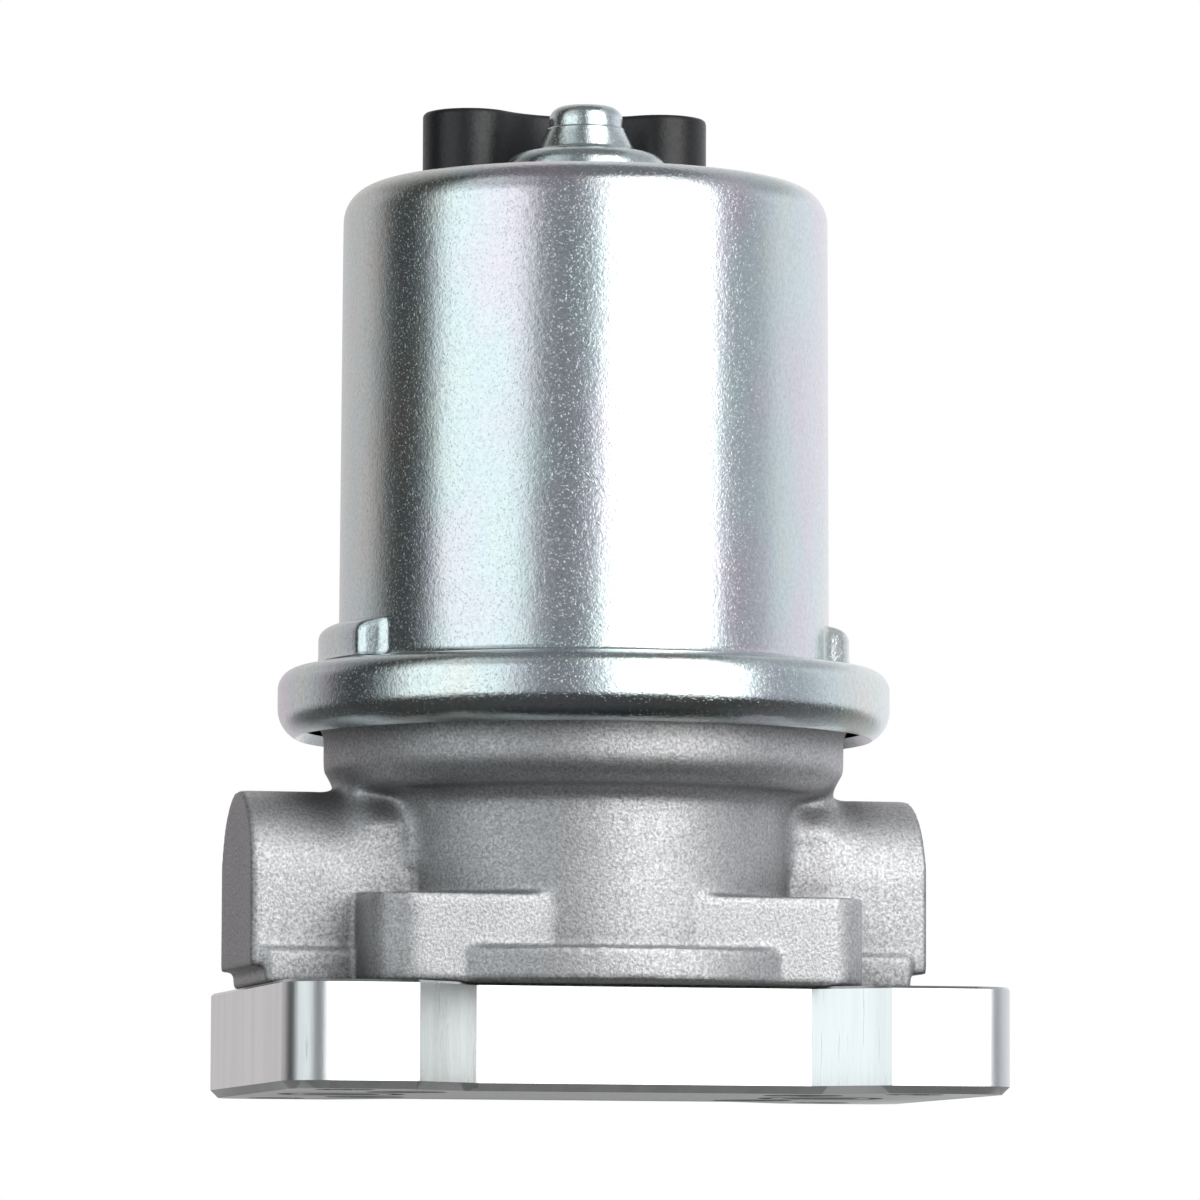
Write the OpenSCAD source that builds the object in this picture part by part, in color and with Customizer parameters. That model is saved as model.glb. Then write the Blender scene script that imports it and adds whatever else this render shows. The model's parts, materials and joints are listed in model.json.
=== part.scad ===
// Electric fuel pump: a sealed motor drives a lobe rotor pump in a casting on an adapter plate.
// Millimetres. The origin is on the motor axis at the underside of the plate.
// Z points up along the motor, and X runs along the plate.

/* [Adapter plate] */
// Length of the plate over its ears
plate_l = 84.9; // [84:0.1:92]
// Width of the plate over its ears
plate_w = 56; // [55:0.5:62]
// Thickness of the plate
plate_t = 12.3; // [11:0.1:16]
// Distance from the motor axis to the middle of the plate
plate_off = 2.6; // [2:0.1:3.4]
// Width of each ear along the plate
ear_w = 15; // [14:0.1:16]
// Corner radius of the ears
ear_corner_r = 4.7; // [2:0.1:5]
// Width of the straight stretch between the ears, where the slants end
pad_w = 39.2; // [36:0.2:42]
// Depth of the plate at that stretch
pad_d = 42.8; // [42.4:0.2:48]
// Chamfer along the lower edge
low_chamfer = 0.9; // [0.4:0.1:1.5]
// Chamfer along the upper edge
top_chamfer = 0.3; // [0.1:0.1:0.6]

/* [Plate holes] */
// Distance from the motor axis to each fuel port
port_x = 28.6; // [28.4:0.1:28.8]
// Radius of the fuel ports
port_r = 4.5; // [3.5:0.1:4.8]
// Width of the seal ring grooves
groove_w = 1.5; // [1.2:0.1:1.6]
// Depth of the seal ring grooves
groove_d = 1.3; // [1:0.1:1.8]
// Distance between the tapped mounting holes along the plate
mount_dx = 66.5; // [65:0.5:68]
// Distance between the tapped mounting holes across the plate
mount_dy = 44; // [43:0.5:45]
// Distance from the motor axis to the middle of the mounting holes
mount_off = 1; // [0:0.1:2]
// Radius of the tapped mounting holes
mount_r = 3.4; // [2.5:0.1:3.4]

/* [Plate screws] */
// Distance between the plate screws along the plate
screw_dx = 46.8; // [46:0.2:47.4]
// Distance between the plate screws across the plate
screw_dy = 25.2; // [24.8:0.2:25.4]
// Radius of the screw thread
screw_r = 2.5; // [2:0.1:2.7]
// Length of the screw below its head
screw_l = 14; // [12:0.5:15]
// Radius of the screw head
head_r = 4.25; // [4:0.05:4.35]
// Height of the screw head
head_h = 5; // [4:0.5:5.5]
// Depth of the bore that the head sits in, beyond the head's height
head_sunk = 0.5; // [0.3:0.1:1]
// Width across the flats of the hexagon socket
socket_w = 4; // [3:0.5:4.5]

/* [Casting] */
// Radius of the round base
base_r = 29.2; // [29.1:0.1:30]
// Height of the round base
base_h = 4; // [3:0.5:5]
// Reach of the base bar to the left of the motor axis
bar_left = 39.5; // [38.5:0.1:40]
// Reach of the base bar to the right of the motor axis
bar_right = 36.8; // [36.6:0.1:38]
// Width of the base bar
bar_w = 22.2; // [21.4:0.2:24]
// Length of the screw block
block_l = 58; // [57.6:0.2:58.2]
// Width of the screw block
block_w = 45.6; // [45:0.2:47]
// Height of the screw block
block_h = 10.2; // [9.5:0.1:12]
// Corner radius of the screw block
block_corner_r = 5.3; // [4:0.1:6]
// Radius of the neck
neck_r = 24.3; // [23.6:0.1:25]
// Height of the underside of the motor cup above the plate
cup_z = 22.7; // [22.5:0.1:25]
// Radius of the motor cup
cup_r = 30.4; // [30:0.1:31]
// Radius of the lower edge of the motor cup
cup_edge_r = 3.5; // [2.5:0.1:4]
// Thickness of the floor of the motor cup
cup_floor = 3; // [2.6:0.1:4]
// Thickness of the cup's flange
flange_t = 4.6; // [4.4:0.1:5]
// Height of the cup between its floor and its flange
cup_side_h = 8.8; // [8.5:0.1:12]
// Height of the spigot that centres the can
spigot_h = 3.3; // [2.5:0.1:4]
// Thickness of the spigot
spigot_wall = 2.7; // [2:0.1:3]

/* [Side bosses] */
// Reach of the left boss from the motor axis
boss_left = 41.1; // [40.5:0.1:42]
// Reach of the right boss from the motor axis
boss_right = 38.9; // [38:0.1:40]
// Radius of the round top of each boss
boss_r = 10.3; // [10:0.1:10.6]
// Height of the centre of the round top above the plate
boss_z = 12.4; // [12.4:0.1:13]

/* [Motor can] */
// Radius of the can at its shoulder
can_r = 28.7; // [28.5:0.1:29.2]
// How much smaller the radius is at the top
can_taper = 0.25; // [0.1:0.05:0.4]
// Height of the can above its shoulder
can_h = 56.8; // [54:0.2:64]
// Thickness of the sheet
can_wall = 1.3; // [1:0.05:1.4]
// Radius of the can's upper edge
can_edge_r = 4.2; // [3:0.1:5]
// Radius of the rolled rim
rim_r = 35.8; // [35.4:0.1:36.4]
// Bend radius at the top of the rim
rim_bend_r = 2.5; // [2:0.1:3]
// Bend radius of the rim's curl
rim_curl_r = 3.9; // [3.7:0.1:4]
// Angle of the rim's curl
rim_curl_angle = 62; // [50:1:66]
// Radius over the two stop bumps
bump_r = 31.1; // [30.6:0.1:31.6]
// Height of the stop bumps
bump_h = 5; // [4:0.5:6]
// Angle across the top of each stop bump
bump_angle = 41; // [30:1:50]
// Radius of the bearing dome on top
dome_r = 10.6; // [10.4:0.05:10.65]
// Height of the bearing dome
dome_h = 4.3; // [4.1:0.1:4.8]
// Radius of the nub over the shaft end
nub_r = 4.35; // [4.3:0.05:4.6]
// Height of the nub above the can
nub_h = 9.8; // [9.6:0.1:10.4]

/* [Connector] */
// Distance between the two sockets
lobe_dx = 23.2; // [22.8:0.2:24]
// Distance of the sockets behind the motor axis
lobe_y = 11.7; // [11.6:0.1:12]
// Outer radius of each socket
lobe_r = 5.55; // [5.4:0.05:5.6]
// Height of the connector
connector_h = 10.3; // [10:0.1:12]
// Wall of each socket
socket_wall = 1.2; // [1:0.05:1.25]
// Depth of each socket
socket_d = 8; // [7.8:0.1:8.2]
// Half the thickness of the web between the sockets
web_half = 1; // [0.8:0.05:1.05]
// Radius of the terminal pins
pin_r = 1; // [0.8:0.05:1.2]
// Length of the pins inside the sockets
pin_l = 2.6; // [2:0.1:2.8]

/* [Pump rotors] */
// Number of lobes on the inner rotor
lobes = 6; // [6:1:6]
// Offset between the two rotor axes
rotor_offset = 1.6; // [1.55:0.01:1.6]
// Thickness of the rotors
rotor_t = 8; // [7:0.1:8.4]
// Outer radius of the outer rotor
rotor_r = 16; // [15.6:0.1:16.2]
// Thickness of the pump cover
cover_t = 3; // [2.5:0.1:3.2]
// Radius of the pump cover
cover_r = 18.5; // [18.4:0.1:18.8]
// Radius of the drive pin
drive_pin_r = 1; // [0.8:0.1:1.2]
// Length of the drive pin
drive_pin_l = 12; // [10:0.5:13]

/* [Shaft and seals] */
// Radius of the motor shaft
shaft_r = 3; // [2.8:0.05:3.1]
// Outer radius of the lower bush
bush_r = 5.2; // [5:0.1:5.4]
// Radius of the seal bore
seal_r = 7.8; // [7.4:0.1:7.8]
// Depth of the seal bore below the cup's floor
seal_d = 7; // [6.5:0.1:7.2]
// Radius of the ball of the upper bearing
ball_r = 7; // [6.8:0.1:7.2]
// Width of the upper bearing
ball_w = 7; // [6.4:0.1:7.2]

/* [Motor parts] */
// Radius of the armature
core_r = 19.8; // [19:0.1:20]
// Thickness of the magnets
magnet_t = 6.3; // [5.8:0.1:6.4]
// Angle covered by each magnet
magnet_angle = 140; // [130:1:144]
// Number of armature slots
slots = 8; // [8:1:8]
// Half the thickness of each armature tooth
tooth_half = 2.2; // [1.8:0.1:2.6]
// Height of the winding beyond the core
end_turn_h = 6; // [5:0.1:6.4]
// Outer radius of the commutator
comm_r = 16.8; // [16.6:0.1:17.4]
// Thickness of the commutator bars
comm_t = 2; // [1.5:0.1:2.4]
// Distance from the shaft axis to each brush
brush_x = 13.5; // [13.4:0.1:13.7]
// Size of the brushes across the shaft axis
brush_a_size = 5; // [4.4:0.1:5.2]
// Size of the brushes along their sweep
brush_b_size = 6; // [5:0.1:6.4]
// Length of the brushes
brush_l = 7.5; // [7:0.1:7.8]
// Wall of the brush tubes
tube_wall = 0.5; // [0.4:0.05:0.6]
// Thickness of the brush card
card_t = 2.5; // [2:0.1:3]

/* [Valves] */
// Radius of the check valve bore
check_r = 5.3; // [5.2:0.05:5.35]
// Depth of the check valve bore
check_d = 10; // [9.8:0.1:10.4]
// Radius of the hole in the check valve seat
check_hole_r = 3; // [2.5:0.1:3.2]
// Lift of the check valve
check_lift = 1.8; // [1.2:0.1:1.9]
// Radius of the relief valve bore
relief_r = 3; // [2.8:0.1:3.1]
// Radius of the relief valve seat
relief_seat_r = 1.6; // [1.4:0.1:1.7]
// Distance of the relief valve from the motor axis, along X and along Y
relief_xy = 9.6; // [9.5:0.1:9.8]
// Length of the relief valve piston
relief_piston_l = 3.4; // [3:0.1:3.6]
// Thickness of the relief valve plug
relief_plug_t = 2; // [1.6:0.1:2.4]

/* [Springs] */
// Wire radius of the springs
wire_r = 0.28; // [0.2:0.02:0.3]
// Number of turns in each spring
turns = 3.5; // [3:0.5:4]

/* [Clearances] */
// Radial clearance of a shaft or piston in its bore
run_gap = 0.04; // [0.02:0.01:0.06]
// Radial clearance of a piece that is fitted and stays
fit_gap = 0.02; // [0.01:0.01:0.04]
// Clearance at each face of the rotors
face_gap = 0.03; // [0.02:0.01:0.05]
// Clearance between the lobes of the rotors
lobe_gap = 0.1; // [0.08:0.01:0.12]
// Clearance between the can and the casting
can_gap = 0.1; // [0.05:0.05:0.2]
// Clearance round the magnets and the brush card
inner_gap = 0.15; // [0.1:0.05:0.2]

/* [Hidden] */
$fn = 96;
over = 1;            // how far a cutting tool runs past the face it cuts

// Adapter plate
plate_x0 = plate_off - plate_l / 2;
plate_x1 = plate_off + plate_l / 2;
pad_x0 = plate_off - pad_w / 2;
pad_x1 = plate_off + pad_w / 2;
head_bore_r = head_r + 0.4;
head_bore_d = head_h + head_sunk;
port_groove_r = check_r + 0.6;      // inner radius of the groove round each port
cover_groove_r = cover_r + 0.4;     // inner radius of the groove round the pump cover
ring_squeeze = 0.04;                // how far a squeezed ring stays below the face
thread_depth = 1;                   // room under the end of a screw

// Heights of the casting
body_z = plate_t;
cup_bottom = body_z + cup_z;
floor_z = cup_bottom + cup_floor;
flange_z = floor_z + cup_side_h - cup_floor;
flange_top = flange_z + flange_t;
neck_fillet_r = 2.1;
spigot_top = flange_top + spigot_h;

// Motor can
shoulder_z = flange_top + can_wall;
can_top = shoulder_z + can_h;
can_top_r = can_r - can_taper;
roof_z = can_top - can_wall;
can_inner_r = can_top_r - can_wall;
rim_fillet_z = shoulder_z - rim_bend_r;
rim_curl_z = shoulder_z - 4.65;
rim_inner_r = rim_r - can_wall;
flange_r = rim_inner_r - can_gap * 2;
flare_r = max(0.1, min(2.5, flange_r - cup_r - 0.1));
flange_chamfer = min(0.6, flange_r - cup_r - flare_r);
shoulder_fillet_r = min(1.2, rim_r - rim_bend_r - can_r);
lip_gap = 0.5;                      // least room between the curled lip and the cup
lip_turn = acos(max(-1, min(1, (cup_r + lip_gap - rim_r + rim_curl_r) / (rim_curl_r - can_wall))));
curl_end = max(5, min(rim_curl_angle, lip_turn));
flange_top_chamfer = rim_bend_r - can_wall + 0.1;
spigot_r = can_r - can_wall - can_gap;
cavity_r = spigot_r - spigot_wall;
// Inner radius of the groove for the can's seal ring, midway between the spigot and the rim's bend
can_ring_r = (spigot_r + rim_inner_r - rim_bend_r + can_wall - groove_w) / 2;
nub_top = can_top + nub_h;
nub_edge_r = 1.7;
dome_low_h = 2.4;                   // height of the dome's lower cone inside
dome_mid_r = dome_r - 2.5;
dome_top_r = dome_r - 5;

// Pump chamber
chamber_z = body_z + cover_t;
chamber_top = chamber_z + rotor_t + face_gap * 2;
rotor_z = chamber_z + face_gap;
inner_pitch_r = lobes * rotor_offset;
outer_pitch_r = (lobes + 1) * rotor_offset;
port_in_r = inner_pitch_r - rotor_offset;
port_out_r = outer_pitch_r + rotor_offset - 0.2;
kidney_h = 5.4;
kidney_angle = 140;
gallery_r = 3.2;
gallery_z = chamber_top + gallery_r + 1.1;
seal_z = floor_z - seal_d;

// Armature stack, measured down from the can's roof
bearing_z = roof_z + 0.2;
bearing_low = bearing_z - ball_w / 2;
bearing_high = bearing_z + ball_w / 2;
washer_t = 0.4;
washer_w = 2.2;
shaft_tip_r = 2;
card_hole_r = 7.6;
hold_low = 2.4;                     // from the middle of the ball down to its retainer
wick_t = 1.8;
slot_low = 8.5;
tooth_head_t = 2.8;
collar_top = bearing_low - washer_t * 2 - 0.2;
tube_top = roof_z - 1.5;
spring_room = 4.6;
brush_top = tube_top - spring_room;
brush_z = brush_top - brush_l;
comm_top = brush_z - 0.05;
comm_z = comm_top - comm_t;
hub_disc_t = 1;
core_gap = 13;                      // from the casting's floor to the core
core_top = comm_z - hub_disc_t - end_turn_h - 1.2;
core_z = floor_z + core_gap;
insulator_t = 0.6;
comm_in_r = brush_x - brush_a_size / 2 - 1.5;
magnet_out_r = can_inner_r - 0.05;
magnet_in_r = magnet_out_r - magnet_t;
magnet_z = spigot_top;
magnet_top = core_top + 4;
card_z = brush_top - card_t - 0.6;
tube_z = comm_top + 1.2;
post_r = 1.8;
post_x = 22;
strap_t = 0.5;

// Connector
lobe_x = lobe_dx / 2;
connector_top = can_top + connector_h;
socket_r = lobe_r - socket_wall;
socket_z = connector_top - socket_d;
spigot_pin_r = 3.4;                 // radius of the spigots that go through the can
seal_recess_r = spigot_pin_r + 1;
seal_recess_h = 1;
spigot_low = roof_z - 1;

// Valves
check_seat_t = 2;
check_disc_t = 1.5;
check_top = body_z + check_d;
check_disc_z = check_top - check_seat_t - 0.05 - check_disc_t;
retainer_t = 1.6;
stem_r = 1.2;
relief_seat_t = 0.6;
relief_z = chamber_top + kidney_h + relief_seat_t;  // height of the relief valve's seat

// Points of an arc about (x, y), from angle a to angle b
function arc(x, y, r, a, b, n = 10) =
  [for (i = [0 : n]) let (t = a + (b - a) * i / n) [x + r * cos(t), y + r * sin(t)]];

// One outward and one inward arch of a lobed wheel that starts at angle a
function outward(p, g, a, t) =
  [(p + g) * cos(a + t) - g * cos(a + t * (p + g) / g),
   (p + g) * sin(a + t) - g * sin(a + t * (p + g) / g)];
function inward(p, g, a, t) =
  [(p - g) * cos(a + t) + g * cos(a - t * (p - g) / g),
   (p - g) * sin(a + t) + g * sin(a - t * (p - g) / g)];
function lobed(p, n, steps = 10) =
  let (g = p / n / 2, w = 180 / n)
  [for (k = [0 : n - 1], half = [0, 1], i = [0 : steps - 1])
    let (a = -90 + 360 * k / n)
    half == 0 ? outward(p, g, a, w * i / steps) : inward(p, g, a + w, w * i / steps)];

// The same outline moved outwards by d, or inwards where d is negative
function moved(pts, d) =
  let (n = len(pts))
  [for (i = [0 : n - 1])
    let (u = pts[(i + 1) % n] - pts[(i + n - 1) % n])
    pts[i] + d * [u[1], -u[0]] / norm(u)];

// A tube with a ring bore
module ring(r_out, r_in, h) {
  difference() {
    cylinder(r = r_out, h = h);
    translate([0, 0, -over]) cylinder(r = r_in, h = h + over * 2);
  }
}

// A cylinder along X from x0 to x1 at height z
module bore_x(x0, x1, y, z, r) {
  translate([x0, y, z]) rotate([0, 90, 0]) cylinder(r = r, h = x1 - x0);
}

// A part of a ring between two angles
module sector(r_in, r_out, h, a, b) {
  rotate([0, 0, a]) rotate_extrude(angle = b - a)
    translate([r_in, 0]) square([r_out - r_in, h]);
}

// A round wire wound from z0 to z1
module coil(r, z0, z1, sides = 8, steps = 20) {
  count = ceil(turns * steps);
  low = z0 + wire_r;
  high = z1 - wire_r;
  points = [for (i = [0 : count], j = [0 : sides - 1])
    let (a = 360 * turns * i / count, b = 360 * j / sides, d = r + wire_r * cos(b))
    [d * cos(a), d * sin(a), low + (high - low) * i / count + wire_r * sin(b)]];
  walls = [for (i = [0 : count - 1], j = [0 : sides - 1])
    let (k = (j + 1) % sides, m = i * sides)
    [m + j, m + k, m + sides + k, m + sides + j]];
  start = [for (j = [sides - 1 : -1 : 0]) j];
  end = [for (j = [0 : sides - 1]) count * sides + j];
  polyhedron(points, concat([start], walls, [end]));
}

// Half of the plate's outline, from the left ear to the right ear along the front
plate_front = [
  [plate_x0, -plate_w / 2 + ear_corner_r],
  [plate_x0 + ear_corner_r, -plate_w / 2],
  [plate_x0 + ear_w, -plate_w / 2],
  [pad_x0, -pad_d / 2],
  [pad_x1, -pad_d / 2],
  [plate_x1 - ear_w, -plate_w / 2],
  [plate_x1 - ear_corner_r, -plate_w / 2],
  [plate_x1, -plate_w / 2 + ear_corner_r]
];
plate_back = [for (i = [len(plate_front) - 1 : -1 : 0]) [plate_front[i][0], -plate_front[i][1]]];
plate_points = concat(plate_front, plate_back);
// How far a chamfer runs past the start and the end of each edge of the front half: clear of the plate at
// an outer corner, and a little short of an inner one
short = -0.1;
edge_runs = [undef, [0, over], [over, short], [short, short], [short, over], [over, 0], undef];

// A cutter that takes a chamfer of size c off the lower edge from p to q
module edge_cutter(p, q, c, run) {
  d = q - p;
  translate([p[0], p[1], 0]) rotate([0, 0, atan2(d[1], d[0])])
    translate([-run[0], 0, 0]) rotate([90, 0, 90])
      linear_extrude(norm(d) + run[0] + run[1])
        polygon([[c + over, -over], [-over, c + over], [-over, -over]]);
}

// The same cutter round a corner of radius r
module corner_cutter(x, y, r, c, a) {
  translate([x, y, 0]) rotate([0, 0, a]) rotate_extrude(angle = 90)
    polygon([[r - c - over, -over], [r + over, c + over], [r + over, -over]]);
}

// All chamfers of the plate's lower edge
module plate_chamfer(c) {
  last = len(plate_front) - 1;
  for (side = [0, 1]) mirror([0, side, 0]) {
    for (i = [0 : last - 1])
      if (edge_runs[i] != undef) edge_cutter(plate_front[i], plate_front[i + 1], c, edge_runs[i]);
    corner_cutter(plate_x0 + ear_corner_r, -plate_w / 2 + ear_corner_r, ear_corner_r, c, 180);
    corner_cutter(plate_x1 - ear_corner_r, -plate_w / 2 + ear_corner_r, ear_corner_r, c, 270);
  }
  edge_cutter(plate_front[last], plate_back[0], c, [0, 0]);
  edge_cutter(plate_back[last], plate_front[0], c, [0, 0]);
}

module at_screws() {
  for (x = [-1, 1], y = [-1, 1]) translate([x * screw_dx / 2, y * screw_dy / 2, 0]) children();
}

module at_ports() {
  for (x = [-1, 1]) translate([x * port_x, 0, 0]) children();
}

module adapter_plate() color("gainsboro") difference() {
  linear_extrude(plate_t) {
    polygon(plate_points);
    for (x = [plate_x0 + ear_corner_r, plate_x1 - ear_corner_r], y = [-1, 1])
      translate([x, y * (plate_w / 2 - ear_corner_r)]) circle(ear_corner_r);
  }
  plate_chamfer(low_chamfer);
  translate([0, 0, plate_t]) mirror([0, 0, 1]) plate_chamfer(top_chamfer);
  at_ports() {
    translate([0, 0, -over]) cylinder(r = port_r, h = plate_t + over * 2);
    translate([0, 0, -over]) ring(port_groove_r + groove_w, port_groove_r, groove_d + over);
    translate([0, 0, plate_t - groove_d]) ring(port_groove_r + groove_w, port_groove_r, groove_d + over);
  }
  translate([0, 0, plate_t - groove_d]) ring(cover_groove_r + groove_w, cover_groove_r, groove_d + over);
  for (x = [-1, 1], y = [-1, 1])
    translate([mount_off + x * mount_dx / 2, y * mount_dy / 2, -over])
      cylinder(r = mount_r, h = plate_t + over * 2);
  at_screws() {
    translate([0, 0, -over]) cylinder(r = head_bore_r, h = head_bore_d + over);
    translate([0, 0, -over]) cylinder(r = screw_r + 0.3, h = plate_t + over * 2);
  }
}

// A seal ring squeezed into its groove
module squeezed_ring(r) {
  ring(r + groove_w - ring_squeeze, r + ring_squeeze, groove_d - ring_squeeze);
}

module port_o_rings() color("dimgray")
  at_ports() translate([0, 0, ring_squeeze]) squeezed_ring(port_groove_r);

module joint_o_rings() color("dimgray") {
  at_ports() translate([0, 0, plate_t - groove_d]) squeezed_ring(port_groove_r);
  translate([0, 0, plate_t - groove_d]) squeezed_ring(cover_groove_r);
}

module plate_screws() color("slategray") at_screws() difference() {
  union() {
    translate([0, 0, head_bore_d - head_h]) cylinder(r = head_r, h = head_h);
    translate([0, 0, head_bore_d]) cylinder(r = screw_r, h = screw_l);
  }
  translate([0, 0, head_bore_d - head_h - over])
    cylinder(d = socket_w / cos(30), h = head_h / 2 + over, $fn = 6);
}

// Outer outline of the neck and the cup, turned about the motor axis
cup_points = concat(
  [[0, body_z], [neck_r, body_z]],
  arc(neck_r + neck_fillet_r, cup_bottom - neck_fillet_r, neck_fillet_r, 180, 90),
  arc(cup_r - cup_edge_r, cup_bottom + cup_edge_r, cup_edge_r, -90, 0),
  arc(cup_r + flare_r, flange_z - flare_r, flare_r, 180, 90),
  [[flange_r - flange_chamfer, flange_z], [flange_r, flange_z + flange_chamfer],
   [flange_r, flange_top - flange_top_chamfer], [flange_r - flange_top_chamfer, flange_top],
   [spigot_r, flange_top], [spigot_r, spigot_top], [0, spigot_top]]
);

// A side boss: an arch along X from x0 to x1
module boss(x0, x1) {
  translate([x0, 0, body_z]) rotate([90, 0, 90]) linear_extrude(x1 - x0) {
    translate([0, boss_z]) circle(boss_r);
    translate([-boss_r, base_h / 2]) square([boss_r * 2, boss_z - base_h / 2]);
  }
}

module block() {
  linear_extrude(block_h) {
    square([block_l - block_corner_r * 2, block_w], center = true);
    square([block_l, block_w - block_corner_r * 2], center = true);
    for (x = [-1, 1], y = [-1, 1])
      translate([x * (block_l / 2 - block_corner_r), y * (block_w / 2 - block_corner_r)])
        circle(block_corner_r);
  }
}

module casting_outside() {
  translate([0, 0, body_z]) cylinder(r = base_r, h = base_h);
  translate([-bar_left, -bar_w / 2, body_z]) cube([bar_left + bar_right, bar_w, base_h]);
  translate([0, 0, body_z]) block();
  boss(-boss_left, -neck_r / 2);
  boss(neck_r / 2, boss_right);
  rotate_extrude() polygon(cup_points);
}

// Pump chamber, its two kidney ports and the galleries to the fuel ports
module casting_passages() {
  translate([0, 0, body_z - over]) cylinder(r = cover_r + fit_gap, h = cover_t + over);
  translate([0, rotor_offset, body_z]) cylinder(r = rotor_r + run_gap, h = chamber_top - body_z);
  for (side = [0, 1]) mirror([side, 0, 0]) {
    translate([0, rotor_offset / 2, chamber_top - face_gap])
      sector(port_in_r, port_out_r, kidney_h + face_gap, -kidney_angle / 2, kidney_angle / 2);
    bore_x((port_in_r + port_out_r) / 2, port_x + gallery_r, 0, gallery_z, gallery_r);
    translate([port_x, 0, body_z]) cylinder(r = gallery_r - 0.3, h = gallery_z - body_z);
  }
  translate([port_x, 0, body_z - over]) cylinder(r = check_r, h = check_d + over);
  translate([-port_x, 0, body_z - over]) cylinder(r = port_r - 0.3, h = check_d + over);
}

// Relief valve bore with its seat, and the drain back to the inlet side
module relief_passages() {
  translate([relief_xy, relief_xy, relief_z]) cylinder(r = relief_r, h = floor_z - relief_z + over);
  translate([relief_xy, relief_xy, chamber_top + 2]) cylinder(r = relief_seat_r, h = kidney_h);
  bore_x(-relief_xy, relief_xy, relief_xy, relief_z + 1, 0.8);
  translate([-relief_xy, relief_xy, chamber_top + 2])
    cylinder(r = relief_seat_r, h = relief_z + 1 - chamber_top - 2);
}

module pump_body() color("darkgray") difference() {
  casting_outside();
  casting_passages();
  relief_passages();
  translate([0, 0, chamber_top - over]) cylinder(r = bush_r, h = seal_z - chamber_top + over * 2);
  translate([0, 0, seal_z]) cylinder(r = seal_r, h = seal_d + over);
  translate([0, 0, floor_z]) cylinder(r = cavity_r, h = spigot_top - floor_z + over);
  translate([0, 0, flange_top - groove_d]) ring(can_ring_r + groove_w, can_ring_r, groove_d + over);
  at_screws() translate([0, 0, body_z - over])
    cylinder(r = screw_r + fit_gap, h = screw_l - (plate_t - head_bore_d) + thread_depth + over);
}

module pump_cover() color("silver") difference() {
  translate([0, 0, body_z]) cylinder(r = cover_r, h = cover_t);
  for (side = [0, 1]) mirror([side, 0, 0]) translate([0, rotor_offset / 2, chamber_z - 0.8])
    sector(port_in_r, port_out_r, 0.8 + over, -kidney_angle / 2, kidney_angle / 2);
}

module outer_rotor() color("dimgray") translate([0, rotor_offset, rotor_z]) difference() {
  cylinder(r = rotor_r, h = rotor_t);
  translate([0, 0, -over]) linear_extrude(rotor_t + over * 2)
    polygon(moved(lobed(outer_pitch_r, lobes + 1), lobe_gap / 2));
}

module inner_rotor() color("gray") difference() {
  translate([0, 0, rotor_z]) linear_extrude(rotor_t)
    polygon(moved(lobed(inner_pitch_r, lobes), -lobe_gap / 2));
  translate([0, 0, rotor_z - over]) cylinder(r = shaft_r + fit_gap, h = rotor_t + over * 2);
  translate([-drive_pin_l / 2 - 0.1, -drive_pin_r - 0.05, rotor_z + rotor_t - drive_pin_r * 2 - 0.2])
    cube([drive_pin_l + 0.2, drive_pin_r * 2 + 0.1, drive_pin_r * 2 + 0.2 + over]);
}

pin_z = rotor_z + rotor_t - drive_pin_r - 0.1;

module drive_pin() color("slategray")
  bore_x(-drive_pin_l / 2, drive_pin_l / 2, 0, pin_z, drive_pin_r);

module lower_bush() color("peru") translate([0, 0, chamber_top + 0.05])
  ring(bush_r - fit_gap, shaft_r + run_gap, seal_z - chamber_top - 0.05);

seal_case_wall = 0.8;
seal_top = floor_z - 0.4;

module seal_case() color("silver") rotate_extrude() {
  translate([seal_r - fit_gap - seal_case_wall, seal_z]) square([seal_case_wall, seal_top - seal_z]);
  translate([shaft_r + 1, seal_z]) square([seal_r - fit_gap - shaft_r - 1, seal_case_wall]);
}

module seal_lip() color("black") rotate_extrude() polygon([
  [seal_r - fit_gap - seal_case_wall, seal_z + seal_case_wall],
  [seal_r - fit_gap - seal_case_wall, seal_z + seal_case_wall + 1.2],
  [shaft_r + 1.8, seal_z + seal_case_wall + 1.4],
  [shaft_r + 1.7, seal_top - 1],
  [shaft_r + 0.8, seal_top - 0.6],
  [shaft_r + run_gap, seal_top - 1.6],
  [shaft_r + 0.7, seal_z + seal_case_wall + 0.9],
  [shaft_r + 1.2, seal_z + seal_case_wall]
]);

shaft_low = chamber_z + 0.1;
shaft_top = nub_top - can_wall - 1.2;

module motor_shaft() color("lightgray") difference() {
  union() {
    translate([0, 0, shaft_low]) cylinder(r = shaft_r, h = bearing_high + 0.5 - shaft_low);
    translate([0, 0, bearing_high + 0.5])
      cylinder(r1 = shaft_r, r2 = shaft_tip_r, h = shaft_top - bearing_high - 0.5);
  }
  bore_x(-shaft_r - over, shaft_r + over, 0, pin_z, drive_pin_r + fit_gap);
}

module thrust_washers() color("ivory") for (i = [0, 1])
  translate([0, 0, collar_top + 0.05 + i * (washer_t + 0.05)])
    ring(shaft_r + washer_w, shaft_r + run_gap, washer_t);

// Flat outline of the armature sheets
module core_outline() {
  slot_high = core_r - tooth_head_t;
  lean = tan(180 / slots);
  side = tooth_half / cos(180 / slots);
  difference() {
    circle(core_r);
    for (i = [0 : slots - 1]) rotate(360 * i / slots) {
      polygon([
        [slot_low, slot_low * lean - side], [slot_high, slot_high * lean - side],
        [slot_high, side - slot_high * lean], [slot_low, side - slot_low * lean]
      ]);
      translate([slot_low, -1]) square([core_r, 2]);
    }
    circle(shaft_r + fit_gap);
  }
}

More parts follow.
